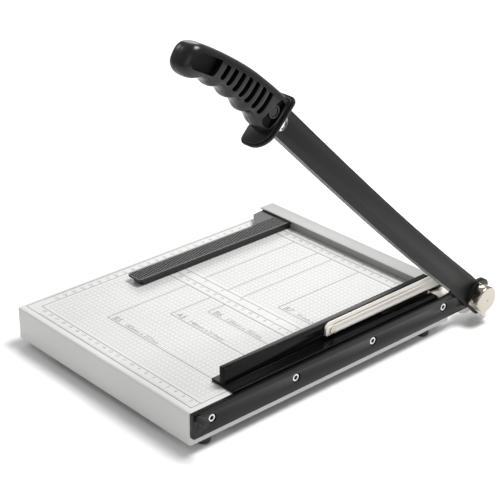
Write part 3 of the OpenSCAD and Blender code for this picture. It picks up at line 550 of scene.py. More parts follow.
# Centimetres that the rulers start with and end before
ACROSS_CM = (2, 24)
BACK_CM = (2, 28)

# Letter heights, and where the words stand from the lines beside them
NUMBER_SIZE = 5.0
CM_DROP = 3.6
INCH_DROP = 3.2
INCH_SHIFT = 1.6
INCH_LINE_RISE = 7.2
LEFT_SHIFT = 6.2
NAME_SIZE = 9.5
NAME_SHIFT = (4.5, 4.6)
MEASURE_SIZE = 6.7
MEASURE_SHIFT = (22, 3.8)


def stroke(x0, x1, y0, y1):
    return block("stroke", (x0, y0, INK_LOW), (x1, y1, INK_TOP))


def line_x(y, x0, x1, width=LINE_W):
    return stroke(x0, x1, y - width / 2, y + width / 2)


def line_y(x, y0, y1, width=LINE_W):
    return stroke(x - width / 2, x + width / 2, y0, y1)


def ticks_x(y0, y1, first, last, step):
    """A row of upright ticks along X, counted leftwards from the cutting plane."""
    tick = line_y(-first, y0, y1, TICK_W)
    row(tick, round((last - first) / step) + 1, (-step, 0, 0))
    return tick


def ticks_y(x0, x1, first, last, step):
    """A row of level ticks along Y."""
    tick = line_x(first, x0, x1, TICK_W)
    row(tick, round((last - first) / step) + 1, (0, step, 0))
    return tick


def lettering(words, x, y, size, align="CENTER"):
    deselect()
    bpy.ops.object.text_add(location=(x, y, (INK_LOW + INK_TOP) / 2))
    note = bpy.context.object
    note.data.body = words
    note.data.size = size
    note.data.align_x = align
    note.data.align_y = "CENTER"
    note.data.resolution_u = 2
    note.data.extrude = (INK_TOP - INK_LOW) / 2
    bpy.ops.object.convert(target="MESH")
    bpy.ops.object.transform_apply(location=True, rotation=True, scale=True)
    return bpy.context.object


def bed_lines():
    lines = [
        line_y(LEFT_LINE, FRONT_LINE, fence_low.y),
        line_y(LEFT_INNER, FRONT_INNER, fence_low.y),
        line_y(RIGHT_LINE, FRONT_LINE, RIGHT_LINE_END),
        line_x(FRONT_LINE, LEFT_LINE, RIGHT_LINE),
        line_x(FRONT_INNER, LEFT_INNER, RIGHT_LINE),
    ]
    lines += [line_x(y, LEFT_INNER, RIGHT_LINE) for y in MID_RULER + BACK_RULER]
    for _, wide, deep in SHEETS:
        lines.append(line_x(-deep, -wide, RIGHT_LINE))
        below = -deep
        if below < MID_RULER[0]:
            lines.append(line_y(-wide, below, MID_RULER[0]))
            below = MID_RULER[-1]
        lines.append(line_y(-wide, below, BACK_RULER[0]))
    set_down(gather("bed_lines", lines), ON_BED, "base", [print_ink])


def bed_ticks():
    ticks = []
    first, end = ACROSS_CM
    for y in (FRONT_LINE, MID_RULER[0], BACK_RULER[0]):
        for step, length in CM_TICKS:
            ticks.append(ticks_x(y, y + length, CM * first, CM * (end - 1), step))
    for y in (MID_RULER[1], BACK_RULER[1]):
        for part, length in INCH_TICKS:
            ticks.append(ticks_x(y, y + length, INCH, INCHES * INCH, INCH / part))
    for step, length in CM_TICKS:
        ticks.append(ticks_y(LEFT_LINE, LEFT_LINE + length, -CM * BACK_CM[1], -CM, step))
    set_down(gather("bed_ticks", ticks), ON_BED, "base", [grid_ink])


def bed_numbers():
    notes = []
    for cm in range(*ACROSS_CM):
        for inner in (FRONT_INNER, MID_RULER[1], BACK_RULER[1]):
            notes.append(lettering(str(cm), -CM * cm, inner - CM_DROP, NUMBER_SIZE))
    for inches in range(1, INCHES + 1):
        for inner in (MID_RULER[2], BACK_RULER[1] + INCH_LINE_RISE):
            notes.append(lettering(str(inches), -INCH * inches + INCH_SHIFT, inner - INCH_DROP, NUMBER_SIZE))
    for cm in range(*BACK_CM):
        notes.append(lettering(str(cm), LEFT_LINE + LEFT_SHIFT, -CM * cm, NUMBER_SIZE))
    for name, wide, deep in SHEETS:
        right, up = NAME_SHIFT
        notes.append(lettering(name, -wide + right, -deep + up, NAME_SIZE, "LEFT"))
        right, up = MEASURE_SHIFT
        notes.append(lettering(f"{wide}mm x {deep}mm", -wide + right, -deep + up, MEASURE_SIZE, "LEFT"))
    set_down(gather("bed_numbers", notes), ON_BED, "base", [grid_ink])


def bed_grid():
    """Dashed rules every 5 mm, between the rulers."""
    pitch = 5.0
    dash = 4.0
    half = pitch / 2
    width = 0.24
    clear = 1
    margin = 4.7
    left = LEFT_INNER + margin
    cols_n = int((RIGHT_LINE - clear - left) / pitch) + 1
    rules = []
    for y0, y1 in ((FRONT_INNER, MID_RULER[0]), (MID_RULER[-1], BACK_RULER[0])):
        first_y = pitch * math.ceil((y0 + clear) / pitch)
        rows_n = int((y1 - clear - first_y) / pitch) + 1
        across = line_x(first_y, left + half - dash / 2, left + half + dash / 2, width)
        row(across, cols_n - 1, (pitch, 0, 0))
        row(across, rows_n, (0, pitch, 0))
        up = line_y(left, first_y + half - dash / 2, first_y + half + dash / 2, width)
        row(up, rows_n - 1, (0, pitch, 0))
        row(up, cols_n, (pitch, 0, 0))
        rules += [across, up]
    set_down(gather("bed_grid", rules), ON_BED, "base", [grid_ink])


# The fence and the side guide

def fence_channel():
    deep = fence_high.y
    top = fence_high.z
    wall = FENCE_WALL
    fence = drawn(
        "fence_channel",
        "X",
        [
            (0, 0), (wall, 0), (wall, top - wall), (deep - wall, top - wall), (deep - wall, 0),
            (deep, 0), (deep, top), (-FENCE_LIP, top), (-FENCE_LIP, top - wall), (0, top - wall),
        ],
        fence_low.x,
        fence_high.x,
    )
    soften(fence, width=0.45, segments=3)
    set_down(fence, ON_BED, "base", [fence_paint], ["fence"])


GUIDE_W = 19.3
GUIDE_PLATE_T = 2.2
GUIDE_WEB = 14.3
GUIDE_OVERHANG = 1.5
GUIDE_NOSE = 5.0
NOSE_R = 2.5
GUSSET_LEN = 34.0
GUSSET_SLANT = 1.5
GUSSET_STEP = 0.3
MAGNET_ROOM = 0.02


def ribbed_guide():
    x1 = guide_high.x
    x0 = x1 - GUIDE_W
    web_x1 = x1 - GUIDE_OVERHANG
    web_x0 = web_x1 - GUIDE_WEB
    z0, z1 = guide_low.z, guide_high.z
    plate_z = z1 - GUIDE_PLATE_T
    y0, y1 = guide_low.y, guide_high.y
    border = 1.8
    rib_pitch = 2.5
    groove_w = 1.2
    groove_d = 1.0
    guide = drawn(
        "ribbed_guide",
        "Y",
        [
            (web_x0, z0), (web_x1, z0), (web_x1, plate_z), (x1, plate_z),
            (x1, z1), (x0, z1), (x0, plate_z), (web_x0, plate_z),
        ],
        y0 + GUIDE_NOSE,
        y1,
    )
    nose = block("nose", (x0, y0, plate_z), (x1, y0 + GUIDE_NOSE + OVER, z1))
    pick(nose, "EDGE", lambda e: runs_along(e, 2) and middle(e).y < y0 + OVER)
    bpy.ops.mesh.bevel(offset=NOSE_R, segments=5, affect="EDGES")
    gusset = drawn(
        "gusset",
        "Z",
        [
            (x0 + OVER, -GUSSET_LEN), (guide_low.x + GUSSET_SLANT, -GUSSET_LEN / 2),
            (guide_low.x, y1), (x0 + OVER, y1),
        ],
        plate_z,
        z1 - GUSSET_STEP,
    )
    cut(guide, nose, gusset, how="UNION")
    grooves = block(
        "grooves", (x0 - OVER, y0 + border, z1 - groove_d), (x1 - border, y0 + border + groove_w, z1 + OVER)
    )
    row(grooves, int((y1 - y0 - 2 * border) / rib_pitch), (0, rib_pitch, 0))
    magnet_low, magnet_high = on_bed_mm("guide_magnet")
    room = Vector((MAGNET_ROOM, MAGNET_ROOM, MAGNET_ROOM))
    pocket = block("pocket", magnet_low - room - Vector((0, 0, OVER)), magnet_high + room)
    cut(guide, grooves, pocket)
    soften(guide, width=0.18, segments=1, angle=40)
    bpy.ops.object.shade_flat()
    set_down(guide, ON_BED, "guide", [guide_plastic], ["side_guide"])


# The knife bar, the press bar and its arm

def knife_bar():
    front = tray_low.y
    end_y = pivot_y + KNIFE_TAIL - KNIFE_END_R
    knife = drawn(
        "knife_bar",
        "X",
        [(front, -KNIFE_H)]
        + arc(end_y, KNIFE_END_R - KNIFE_H, KNIFE_END_R, -90, 0, 8)
        + arc(end_y, -KNIFE_END_R, KNIFE_END_R, 0, 90, 8)
        + [(front, 0)],
        -KNIFE_T,
        0,
    )
    back = -KNIFE_T - OVER
    cut(knife, rod("bore", BOLT_R, back, OVER, pivot_y, pivot_z))
    for y in SCREW_YS:
        cut(
            knife,
            rod("seat", SEAT_R, -SEAT_DEPTH, OVER, y, SCREW_Z),
            rod("hole", SCREW_HOLE_R, back, OVER, y, SCREW_Z),
        )
    cut(knife, rod("stud_hole", STUD_HOLE_R, back, OVER, STOP_Y, STOP_Z))
    soften(knife, width=0.35)
    set_down(knife, ON_BED, "base", [knife_black], ["bed_knife"])


PRESS_T = 3.0
RIB_X0 = -21.8
RIB_X1 = -15.3
RIB_ROOT = 1.6
ARM_SLOT_Y = -70.0
ARM_SLOT_X1 = -12.1
ARM_SLOT_OVER = 0.5
RIVET_BAR_R = 2.05


def press_tee():
    x0, x1 = bar_low.x, bar_high.x
    z0, z1 = bar_low.z, bar_low.z + PRESS_T
    top = bar_high.z
    bar = drawn(
        "press_tee",
        "Y",
        [(x0, z0), (x1, z0), (x1, z1), (RIB_X1, z1), (RIB_X1, top), (RIB_X0, top)]
        + arc(RIB_X0 - RIB_ROOT, z1 + RIB_ROOT, RIB_ROOT, 0, -90, 5)
        + [(x0, z1)],
        bar_low.y,
        bar_high.y,
    )
    cut(
        bar,
        block(
            "arm_slot",
            (RIB_X1, ARM_SLOT_Y, z0 - OVER),
            (ARM_SLOT_X1, bar_high.y + OVER, z1 + ARM_SLOT_OVER),
        ),
        rod("rivet_hole", RIVET_BAR_R, RIB_X0 - OVER, RIB_X1 + OVER, rivet_mid.y, rivet_mid.z),
    )
    soften(bar, width=0.5, segments=3)
    set_down(bar, ON_BED, "press", [press_black], ["press_bar"])


PIN_Y = 8.5
PIN_Z = 11.5
PIN_HOLE_R = 2.55
RIVET_LEAF_R = 2.02
LEAF_END_R = 4.5
LEAF_CORNER = 1.2
LEAF_SHOULDER = 0.28
SLIT_DEPTH = 2
INNER_SLOPE = 7.0
OUTER_SLOPE = 9.0
OUTER_SLIT = 0.8


def arm_leaf(name, low, high, slope, node, slit=0):
    """A strip with a round end over its pin and a rounded, sloping user's end."""
    shoulder = high.z - LEAF_SHOULDER * (high.z - low.z)
    turns = [math.radians(a) for a in (90, 70, 50, 30, 12, 0)]
    nose = [
        (low.y + slope * (1 - math.cos(t)), shoulder + (high.z - shoulder) * math.sin(t)) for t in turns
    ]
    leaf = drawn(
        name,
        "X",
        [(low.y + LEAF_CORNER, low.z)]
        + arc(PIN_Y, PIN_Z, LEAF_END_R, -90, 80, 12)
        + [(0, high.z)]
        + nose
        + [(low.y, low.z + LEAF_CORNER)],
        low.x,
        high.x,
    )
    cut(
        leaf,
        rod("pin_hole", PIN_HOLE_R, low.x - OVER, high.x + OVER, PIN_Y, PIN_Z),
        rod("rivet_hole", RIVET_LEAF_R, low.x - OVER, high.x + OVER, rivet_mid.y, rivet_mid.z),
    )
    if slit:
        slit_low = (low.x - OVER, low.y + slope, high.z - SLIT_DEPTH)
        cut(leaf, block("slit", slit_low, (low.x + slit, OVER, high.z + OVER)))
    soften(leaf, width=0.22)
    set_down(leaf, ON_BED, "clamp_arm", [satin_nickel], [node])


# The hinge

def hinge_cap():
    chamfer = 1.6
    dimple_r = 1.6
    dimple_rim = 0.6
    dimple_depth = 0.4
    rim_w = 0.5
    slack = 0.01
    radius = (cap_high.y - cap_low.y) / 2
    axis = Vector((pivot_y, pivot_z))
    cap = rod("hinge_cap", radius, cap_low.x, cap_high.x, pivot_y, pivot_z, 72)
    pick(cap, "FACE", lambda f: f.normal.x > FACING)
    bpy.ops.mesh.inset(thickness=radius - dimple_r)
    bpy.ops.mesh.inset(thickness=dimple_rim)
    bpy.ops.transform.translate(value=(-dimple_depth, 0, 0))
    leave()

    def on_rim(edge):
        place = middle(edge)
        return place.x > cap_high.x - slack and (place.yz - axis).length > radius - rim_w

    pick(cap, "EDGE", on_rim)
    bpy.ops.mesh.bevel(offset=chamfer, segments=4, affect="EDGES")
    leave()
    soften(cap, width=0.2, angle=30)
    set_down(cap, ON_BED, "base", [bright_nickel], ["cap_nut"])


PLATE_X0 = 5.59
PLATE_X1 = 7.59
PLATE_FRONT = -10.4
PLATE_LEN = 33.5
PLATE_LOW = -12.7
PLATE_H = 23.4
PLATE_R = 1.5


def pressure_plate():
    plate = drawn(
        "pressure_plate",
        "X",
        round_box(PLATE_FRONT, PLATE_FRONT + PLATE_LEN, PLATE_LOW, PLATE_LOW + PLATE_H, PLATE_R),
        PLATE_X0,
        PLATE_X1,
    )
    cut(plate, rod("bore", BOLT_R, PLATE_X0 - OVER, PLATE_X1 + OVER, 0, 0))
    soften(plate, width=0.3)
    set_down(plate, ON_ARM, "blade_arm", [bright_nickel], ["hinge_plate"])


# The blade, level from its pivot

def bow(u):
    """Rise of both of the blade's edges, at a distance from its pivot."""
    if u < BOW_AT:
        return BOW_NEAR * (1 - max(u, BOW_FROM) / BOW_AT) ** 2
    return BOW_FAR * ((u - BOW_AT) / (GUARD_AT - BOW_AT)) ** 2


def cutting_blade():
    edge_n = 16
    edge_us = [HEEL_U + (GUARD_AT - HEEL_U) * i / edge_n for i in range(edge_n + 1)]
    bowed_us = [BOW_FROM] + edge_us
    tail_y = BLADE_TAIL - TAIL_R
    tang_low = -GRIP_DROP - TANG_H / 2
    blade = drawn(
        "cutting_blade",
        "X",
        arc(tail_y, bow(0) - EDGE_DROP + TAIL_R, TAIL_R, -90, 0, 6)
        + arc(tail_y, bow(0) + BACK_RISE - TAIL_R, TAIL_R, 0, 90, 6)
        + [(-u, bow(u) + BACK_RISE) for u in bowed_us]
        + [
            (-GUARD_AT, tang_low + TANG_H), (-GRIP_AT - TANG_LEN, tang_low + TANG_H),
            (-GRIP_AT - TANG_LEN, tang_low), (-GUARD_AT, tang_low),
        ]
        + [(-u, bow(u) - EDGE_DROP) for u in reversed(bowed_us)],
        BLADE_X0,
        BLADE_X1,
    )
    cut(
        blade,
        rod("bore", BOLT_R, BLADE_X0 - OVER, BLADE_X1 + OVER, 0, 0),
        rod("hang_hole", HANG_R, BLADE_X0 - OVER, BLADE_X1 + OVER, -HANG_U, HANG_V, 56),
        rod("grip_hole", GRIP_HOLE_R, BLADE_X0 - OVER, BLADE_X1 + OVER, -GRIP_AT - SCREW_S, -GRIP_DROP),
    )
    soften(blade, width=0.25)
    edge = [Vector((0, -u, bow(u) - EDGE_DROP)) for u in edge_us]
    section = [
        (BLADE_X1 + OVER, BEVEL_W + OVER), (BLADE_X1, BEVEL_W), (BLADE_X0 + BEVEL_END, 0),
        (BLADE_X0 + BEVEL_END, -OVER), (BLADE_X1 + OVER, -OVER),
    ]
    grind = swept(
        "grind",
        [edge[0] + Vector((x, 0, z)) for x, z in section],
        [end - start for start, end in zip(edge, edge[1:])],
    )
    cut(blade, grind)
    for finish in (blade_coat, ground_steel):
        blade.data.materials.append(finish)

    def bare(face):
        """Whether a face is the ground edge or the wall of the hang hole."""
        slanted = 0.3
        flat = 0.95
        hole_rim = 0.4
        centre = face.calc_center_median()
        low = centre.z < bow(-centre.y) - EDGE_DROP + BEVEL_W + NEAR / 2
        ground = -GUARD_AT < centre.y < -HEEL_U and face.normal.x > slanted and face.normal.z < -slanted
        in_hole = (centre.yz - Vector((-HANG_U, HANG_V))).length < HANG_R + hole_rim
        return (ground and low) or (in_hole and abs(face.normal.x) < flat)

    pick(blade, "FACE", bare)
    blade.active_material_index = 1
    bpy.ops.object.material_slot_assign()
    leave()
    smooth(30)
    set_down(blade, ON_ARM, "blade_arm", [blade_coat], ["blade"])


# The handle

GUARD_UP = 14.5
GUARD_DOWN = 35.0
GUARD_W = 30.0
GUARD_STEP = 1.5
GUARD_LAP = 0.8
GUARD_R = 6.0
GUARD_LOW_R = 18.0
TANG_ROOM = 0.1


def guard_outline(inset):
    """The guard's outline across the blade, with a wide round at its lower corner on the open side."""
    left, right = BLADE_MID - GUARD_W / 2, BLADE_MID + GUARD_W / 2
    small = GUARD_R - inset
    return (
        arc(left + GUARD_R, GUARD_R - GUARD_DOWN, small, 180, 270, 6)
        + arc(right - GUARD_LOW_R, GUARD_LOW_R - GUARD_DOWN, GUARD_LOW_R - inset, 270, 360, 12)
        + arc(right - GUARD_R, GUARD_UP - GUARD_R, small, 0, 90, 6)
        + arc(left + GUARD_R, GUARD_UP - GUARD_R, small, 90, 180, 6)
    )


def guard_plate():
    face = -GUARD_AT - GUARD_T
    rim = drawn("guard_plate", "Y", guard_outline(0), face + GUARD_STEP, -GUARD_AT)
    soften(rim, width=0.7, segments=3)
    lap = GUARD_STEP + GUARD_LAP
    step = drawn("step", "Y", guard_outline(lap), face, face + lap)
    soften(step, width=0.6, segments=3)
    cut(rim, step, how="UNION")
    half_tang = TANG_H / 2 + TANG_ROOM
    cut(
        rim,
        block(
            "tang_slot",
            (BLADE_X0 - TANG_ROOM, -GRIP_AT - OVER, -GRIP_DROP - half_tang),
            (BLADE_X1 + TANG_ROOM, -GUARD_AT + OVER, -GRIP_DROP + half_tang),
        ),
    )
    smooth()
    set_down(rim, ON_ARM, "blade_arm", [handle_plastic], ["finger_guard"])


def ease(t):
    """From 0 to 1, level at both ends."""
    return (1 - math.cos(math.pi * min(1, max(0, t)))) / 2


def grip_mid(s):
    """Height of the grip's middle line, at a distance from the guard."""
    return -GRIP_DROP - max(0, s - STRAIGHT) ** 2 / (2 * BEND_R)


def grip_half(s):
    if s < WAIST_S:
        return (ROOT_H + (WAIST_H - ROOT_H) * ease(s / WAIST_S)) / 2
    return (WAIST_H + (KNOB_H - WAIST_H) * ease((s - WAIST_S) / KNOB_RISE)) / 2


def end_round(s, power):
    """How far the grip narrows towards its round end."""
    run = (s - GRIP_LEN + GRIP_END) / GRIP_END
    return 1 if run <= 0 else max(END_LEAST, max(0, 1 - run ** power) ** (1 / power))


def groove(s):
    """Depth of the finger grooves."""
    run = (s - GROOVE_FIRST) / GROOVE_PITCH
    if run < -0.5 or run > GROOVE_N - 0.5:
        return 0
    return GROOVE_DEPTH * (1 - abs(math.sin(math.pi * run)) ** GROOVE_CREST)


def ring_size(s):
    """Half width, height above and depth below the grip's middle line."""
    half = grip_half(s)
    low = half * end_round(s, END_POWER_LOW) - groove(s)
    return GRIP_W / 2 * end_round(s, END_POWER), half * end_round(s, END_POWER), low


def resize(values, centre):
    bpy.ops.transform.resize(value=values, center_override=centre)


# How the grip's round section is squared: stretch below and above its middle line, for the points
# whose smaller distance from the section's two axes lies between the last two values
SQUARING = ((1.083, 1.16, 0.6, 0.75), (1.063, 1.11, 0.4, 0.6), (1.023, 1.032, 0.2, 0.4))


def grip_body():
    """A round section, extruded ring by ring along the grip and resized at each."""
    sides = 24
    body_n = 34
    end_n = 8
    straight = GRIP_LEN - GRIP_END
    turns = [math.pi / 2 * i / (end_n - 1) for i in range(end_n)]
    stations = [straight * i / body_n for i in range(body_n)]
    stations += [straight + GRIP_END * math.sin(t) for t in turns]
    wide, high, low = ring_size(0)
    centre = Vector((BLADE_MID, -GRIP_AT, grip_mid(0)))
    deselect()
    bpy.ops.mesh.primitive_circle_add(
        vertices=sides, radius=1, fill_type="NGON", location=centre, rotation=(math.pi / 2, 0, 0)
    )
    bpy.ops.object.transform_apply(location=True, rotation=True, scale=True)
    grip = named("grip_body")

    def slant(v):
        return abs(v.co.x - centre.x), abs(v.co.z - centre.z)

    for low_squarer, squarer, least, most in SQUARING:
        pick(grip, "VERT", lambda v: least < min(slant(v)) < most and v.co.z < centre.z)
        resize((low_squarer, 1, low_squarer), centre)
        pick(grip, "VERT", lambda v: least < min(slant(v)) < most and v.co.z > centre.z)
        resize((squarer, 1, squarer), centre)
    pick(grip, "VERT", lambda v: v.co.z >= centre.z - TINY)
    resize((wide, 1, high), centre)
    pick(grip, "VERT", lambda v: v.co.z < centre.z - TINY)
    resize((wide, 1, low), centre)
    nearest = -GRIP_AT + OVER
    turned = 0

    def end_face(f):
        return len(f.verts) == sides and f.calc_center_median().y < nearest

    for s in stations[1:]:
        pick(grip, "FACE", end_face)
        ahead = Vector((BLADE_MID, -GRIP_AT - s, grip_mid(s)))
        bpy.ops.mesh.extrude_region_move(TRANSFORM_OT_translate={"value": ahead - centre})
        centre = ahead
        nearest = -GRIP_AT - OVER
        new_wide, new_high, new_low = ring_size(s)
        resize((new_wide / wide, new_high / high, new_high / high), centre)
        lean = math.atan(LEAN * max(0, s - STRAIGHT) / BEND_R)
        bpy.ops.transform.rotate(value=turned - lean, orient_axis="X", center_override=centre)
        turned = lean
        pick(grip, "VERT", lambda v: any(map(end_face, v.link_faces)) and v.co.z < centre.z - TINY)
        flatter = new_low / low * high / new_high
        resize((1, flatter, flatter), centre)
        wide, high, low = new_wide, new_high, new_low
    pick(grip, "EDGE", lambda e: abs(middle(e).y + GRIP_AT) < TINY)
    bpy.ops.transform.edge_crease(value=1)
    bpy.ops.mesh.select_all(action="SELECT")
    bpy.ops.mesh.normals_make_consistent(inside=False)
    leave()
    bpy.ops.object.modifier_add(type="SUBSURF")
    grip.modifiers[-1].levels = 1
    grip.modifiers[-1].render_levels = 1
    apply_last(grip)
    return grip


SLOT_LOW = -14.4
SLOT_TOP_IN = 7.0
SLOT_TOP_R = 0.7
SLOT_LOW_R = 1.7
PANEL_GAP = 7.9
PANEL_LEN = 22.4
PANEL_INSET = 5.5
PANEL_STEP = 2
PANEL_TIP = 4
PANEL_R = 1.0
PANEL_END_R = 3.5


def side_cutters(side):
    """The slots and the sunk panel on one side of the grip."""
    x0, x1 = BLADE_MID + side * SLOT_FLOOR, BLADE_MID + side * (GRIP_W / 2 + OVER)
    near, far = min(x0, x1), max(x0, x1)
    tools = []
    for i in range(SLOT_N):
        s = SLOT_FIRST + i * SLOT_PITCH
        top = grip_mid(s) + grip_half(s) - SLOT_TOP_IN
        y = -GRIP_AT - s
        slot = block("slot", (near, y - SLOT_W / 2, SLOT_LOW), (far, y + SLOT_W / 2, top))
        pick(slot, "EDGE", lambda e: runs_along(e, 0) and middle(e).z > top - OVER)
        bpy.ops.mesh.bevel(offset=SLOT_TOP_R, segments=3, affect="EDGES")
        pick(slot, "EDGE", lambda e: runs_along(e, 0) and middle(e).z < SLOT_LOW + OVER)
        bpy.ops.mesh.bevel(offset=SLOT_LOW_R, segments=2, affect="EDGES")
        leave()
        tools.append(slot)
    p0 = SLOT_FIRST + (SLOT_N - 1) * SLOT_PITCH + PANEL_GAP
    p1 = p0 + PANEL_LEN
    floor_x = BLADE_MID + side * PANEL_FLOOR
    panel = drawn(
        "panel",
        "X",
        [
            (-GRIP_AT - p0, grip_mid(p0) + grip_half(p0) - PANEL_INSET),
            (-GRIP_AT - p1, grip_mid(p1) + grip_half(p1) - PANEL_INSET),
            (-GRIP_AT - p1 - PANEL_TIP, grip_mid(p1)),
            (-GRIP_AT - p1, grip_mid(p1) - grip_half(p1) + PANEL_INSET + PANEL_STEP),
            (-GRIP_AT - p0, grip_mid(p0) - grip_half(p0) + PANEL_INSET + PANEL_STEP),
        ],
        min(floor_x, x1),
        max(floor_x, x1),
    )
    pick(panel, "EDGE", lambda e: runs_along(e, 0) and middle(e).y > -GRIP_AT - p0 - OVER)
    bpy.ops.mesh.bevel(offset=PANEL_R, segments=3, affect="EDGES")
    pick(panel, "EDGE", lambda e: runs_along(e, 0) and middle(e).y < -GRIP_AT - p0 - PANEL_LEN / 2)
    bpy.ops.mesh.bevel(offset=PANEL_END_R, segments=5, affect="EDGES")
    leave()
    tools.append(panel)
    return tools


REAR_SCREW_S = 88.0
REAR_SCREW_V = -12.5
HEAD_R = 4.1
OUTER_HEAD_DEPTH = 4
INNER_HEAD_DEPTH = 5
BOSS_R = 5.6
BOSS_X0 = 8.0
BOSS_X1 = 12.0
POCKET_R = 1.2

# Corners of the pocket round the front screw, from the guard and from the pivot's height
POCKET = (
    (2.2, -17.5), (2.2, 5.5), (8.4, 6.6), (11.4, 2), (14.6, -5), (15.2, -15.5), (10, -18.6), (5, -18.8)
)


def sunk(face, side):
    """Whether a face lies on the floor or the walls of a slot, the panel or the pocket, which get painted
    shade.
    """
    slack = 0.05
    skin = 1
    out = side * (face.calc_center_median().x - BLADE_MID)
    on_floor = any(abs(out - level) < slack for level in (SLOT_FLOOR, PANEL_FLOOR, POCKET_FLOOR))
    on_wall = SLOT_FLOOR < out < GRIP_W / 2 - skin and abs(face.normal.x) < slack
    return (on_floor and side * face.normal.x > FACING) or on_wall


def grip_shell(grip, name, side, node):
    """One half of the grip, with its cuts and its screw holes."""
    shell = copied(grip, name)
    bpy.ops.object.mode_set(mode="EDIT")
    bpy.ops.mesh.select_all(action="SELECT")
    bpy.ops.mesh.bisect(
        plane_co=(BLADE_MID, 0, 0), plane_no=(side, 0, 0), clear_inner=True, use_fill=True, threshold=0.0001
    )
    leave()
    cut(shell, *side_cutters(side))
    front_y = -GRIP_AT - SCREW_S
    rear_y = -GRIP_AT - REAR_SCREW_S
    out = BLADE_MID + side * GRIP_W
    head_depth = OUTER_HEAD_DEPTH if side > 0 else INNER_HEAD_DEPTH
    head_x = BLADE_MID + side * (GRIP_W / 2 - head_depth)
    if side > 0:
        pocket = drawn(
            "pocket",
            "X",
            [(-GRIP_AT - s, v) for s, v in POCKET],
            BLADE_MID + POCKET_FLOOR,
            BLADE_MID + GRIP_W / 2 + OVER,
        )
        pick(pocket, "EDGE", lambda e: runs_along(e, 0))
        bpy.ops.mesh.bevel(offset=POCKET_R, segments=3, affect="EDGES")
        leave()
        cut(pocket, rod("boss", BOSS_R, BLADE_MID + BOSS_X0, BLADE_MID + BOSS_X1, front_y, -GRIP_DROP))
        cut(shell, pocket)
    cut(shell, rod("head_hole", HEAD_R, min(head_x, out), max(head_x, out), front_y, -GRIP_DROP, 32))
    if side < 0:
        cut(shell, rod("rear_hole", HEAD_R, out, head_x, rear_y, REAR_SCREW_V, 32))
    soften(shell, width=0.3, angle=42)
    for finish in (handle_plastic, recess_painted_shade):
        shell.data.materials.append(finish)
    # The sunk faces get the painted shade, the darker and duller copy of the handle's plastic.
    pick(shell, "FACE", lambda f: sunk(f, side))
    shell.active_material_index = 1
    bpy.ops.object.material_slot_assign()
    leave()
    set_down(shell, ON_ARM, "blade_arm", [handle_plastic], [node])


def grip_shells():
    grip = grip_body()
    grip_shell(grip, "grip_outer_shell", 1, "handle_outer")
    grip_shell(grip, "grip_inner_shell", -1, "handle_inner")
    bpy.data.objects.remove(grip)


# Solids that stay as they are, with their finishes

# Painted shade on the knife screws: a dark disc of this radius and tone over the middle of each head, where
# its recess lies in shade.
PAINTED_SHADE_R = 2.0 * MM
PAINTED_SHADE_TONE = (0.02, 0.02, 0.021, 1)


def recessed_zinc():
    """Zinc plate with painted shade: a dark disc painted on the middle of each knife screw's head, where its
    recess lies in shade.
    """
    finish = zinc_plate.copy()
    finish.name = "recessed_zinc"
    tree = finish.node_tree
    shader = tree.nodes["Principled BSDF"]
    plate = shader.inputs["Base Color"].links[0].from_socket
    low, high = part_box("knife_screws")
    head_r = (high.z - low.z) / 2
    pitch = (high.y - low.y - 2 * head_r) / (len(SCREW_YS) - 1)

    def reckoned(operation, *values):
        """One step of arithmetic on sockets and plain numbers."""
        step = tree.nodes.new("ShaderNodeMath")
        step.operation = operation
        for socket, value in zip(step.inputs, values):
            if isinstance(value, float):
                socket.default_value = value
            else:
                tree.links.new(value, socket)
        return step.outputs["Value"]

    place = tree.nodes.new("ShaderNodeTexCoord")
    parts = tree.nodes.new("ShaderNodeSeparateXYZ")
    tree.links.new(place.outputs["Object"], parts.inputs["Vector"])
    along = reckoned("SUBTRACT", parts.outputs["Y"], low.y + head_r)
    along = reckoned("WRAP", along, pitch / 2, -pitch / 2)
    up = reckoned("SUBTRACT", parts.outputs["Z"], low.z + head_r)
    reach = reckoned("ADD", reckoned("MULTIPLY", along, along), reckoned("MULTIPLY", up, up))
    inside = reckoned("LESS_THAN", reach, PAINTED_SHADE_R * PAINTED_SHADE_R)
    factor, plain, recess, colour = 0, 6, 7, 2
    # The painted shade's tone inside the disc, the zinc's own colour elsewhere.
    mix = tree.nodes.new("ShaderNodeMix")
    mix.data_type = "RGBA"
    tree.links.new(inside, mix.inputs[factor])
    tree.links.new(plate, mix.inputs[plain])
    mix.inputs[recess].default_value = PAINTED_SHADE_TONE
    tree.links.new(mix.outputs[colour], shader.inputs["Base Color"])
    return finish


def finish_solids():
    finishes = {
        zinc_plate: (
            "corner_plates", "foot_screws", "foot_nuts", "fence_screws", "knife_nuts",
            "clamp_bracket_screw", "pivot_bolt", "stop_stud", "handle_nut",
        ),
        # The knife screws' zinc carries painted shade over each head's recess.
        recessed_zinc(): ("knife_screws",),
        foot_rubber: (
            "foot_front_left", "foot_front_right", "foot_rear_left", "foot_rear_right", "stop_bumper",
        ),
        magnet_strip: ("guide_magnet",),
        knife_black: ("clamp_bracket",),
        bright_nickel: ("arm_rivet", "arm_pin", "pivot_spacer"),
        satin_nickel: ("heel_plate", "heel_rivets", "hinge_bracket"),
        spring_black: ("disc_springs",),
        black_screw: ("handle_screws",),
    }
    for finish, names in finishes.items():
        for name in names:
            nodes[name].data.materials.clear()
            nodes[name].data.materials.append(finish)


# The stage: a wide white floor, a soft lamp behind the cutter and three weaker ones round it

FLOOR_SIZE = 14.0
FLOOR_DROP = 0.0005
FLOOR_GRAIN = 4
FLOOR_ROUGH = 0.9
FLOOR_SHINE = 0.1
SKY = 0.36

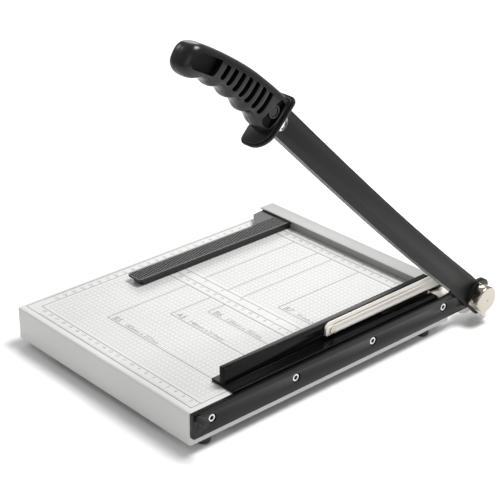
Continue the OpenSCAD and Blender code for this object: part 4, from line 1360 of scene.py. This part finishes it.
# Each lamp's name, place, aim, size in metres and power in watts
LAMPS = (
    ("key", (0.5, 0.62, 2.1), (-0.1, 0.05, 0.0), 1.0, 50),
    ("front_fill", (0.9, -1.3, 0.8), (0, 0, 0.05), 1.2, 2.5),
    ("left_screen", (-1.7, -0.5, 1.4), (0.1, -0.2, 0.25), 0.5, 3.5),
    ("back_screen", (-1.83, 1.62, 1.40), (0, 0, 0.05), 1.3, 15),
)

# The photo's camera: its place from the bed's corner, slope and turn in degrees, and lens
CAMERA_PLACE = (0.7916, -0.9594, 0.6538)
CAMERA_SLOPE = 26.12
CAMERA_TURN = 47.935
CAMERA_LENS = 106.62
CAMERA_SENSOR = 36
CAMERA_REACH = 100


def floor():
    deselect()
    bpy.ops.mesh.primitive_plane_add(size=FLOOR_SIZE, location=(0, 0, -FLOOR_DROP))
    plane = named("pale_floor")
    finish, tree, shader = new_finish("pale_floor")
    fine = grain(tree, FLOOR_GRAIN)
    pale = between(tree, fine, (0.94, 0.94, 0.94), (0.96, 0.96, 0.96))
    tree.links.new(pale, shader.inputs["Base Color"])
    shader.inputs["Roughness"].default_value = FLOOR_ROUGH
    shader.inputs["Specular IOR Level"].default_value = FLOOR_SHINE
    plane.data.materials.append(finish)


def soft_light(name, place, aim, size, power):
    deselect()
    bpy.ops.object.light_add(type="AREA", location=place)
    lamp = bpy.context.object
    lamp.name = name
    lamp.data.shape = "DISK"
    lamp.data.size = size
    lamp.data.energy = power
    lamp.rotation_euler = (Vector(aim) - Vector(place)).to_track_quat("-Z", "Y").to_euler()


def studio():
    floor()
    for lamp in LAMPS:
        soft_light(*lamp)
    world = bpy.data.worlds.new("studio")
    bpy.context.scene.world = world
    world.use_nodes = True
    sky = world.node_tree.nodes["Background"]
    sky.inputs["Color"].default_value = (1, 1, 1, 1)
    sky.inputs["Strength"].default_value = SKY
    bpy.context.scene.view_settings.view_transform = "Standard"
    deselect()
    bpy.ops.object.camera_add(
        location=BED + Vector(CAMERA_PLACE),
        rotation=(math.radians(90 - CAMERA_SLOPE), 0, math.radians(CAMERA_TURN)),
    )
    camera = bpy.context.object
    camera.name = "photo_camera"
    camera.data.lens = CAMERA_LENS
    camera.data.sensor_width = CAMERA_SENSOR
    camera.data.clip_end = CAMERA_REACH
    bpy.context.scene.camera = camera


tray_shell()
bed_lines()
bed_ticks()
bed_numbers()
bed_grid()
fence_channel()
ribbed_guide()
knife_bar()
press_tee()
arm_leaf("arm_leaf_inner", inner_low, inner_high, INNER_SLOPE, "clamp_arm_inner")
arm_leaf("arm_leaf_outer", outer_low, outer_high, OUTER_SLOPE, "clamp_arm_outer", OUTER_SLIT)
hinge_cap()
pressure_plate()
cutting_blade()
guard_plate()
grip_shells()
finish_solids()
studio()
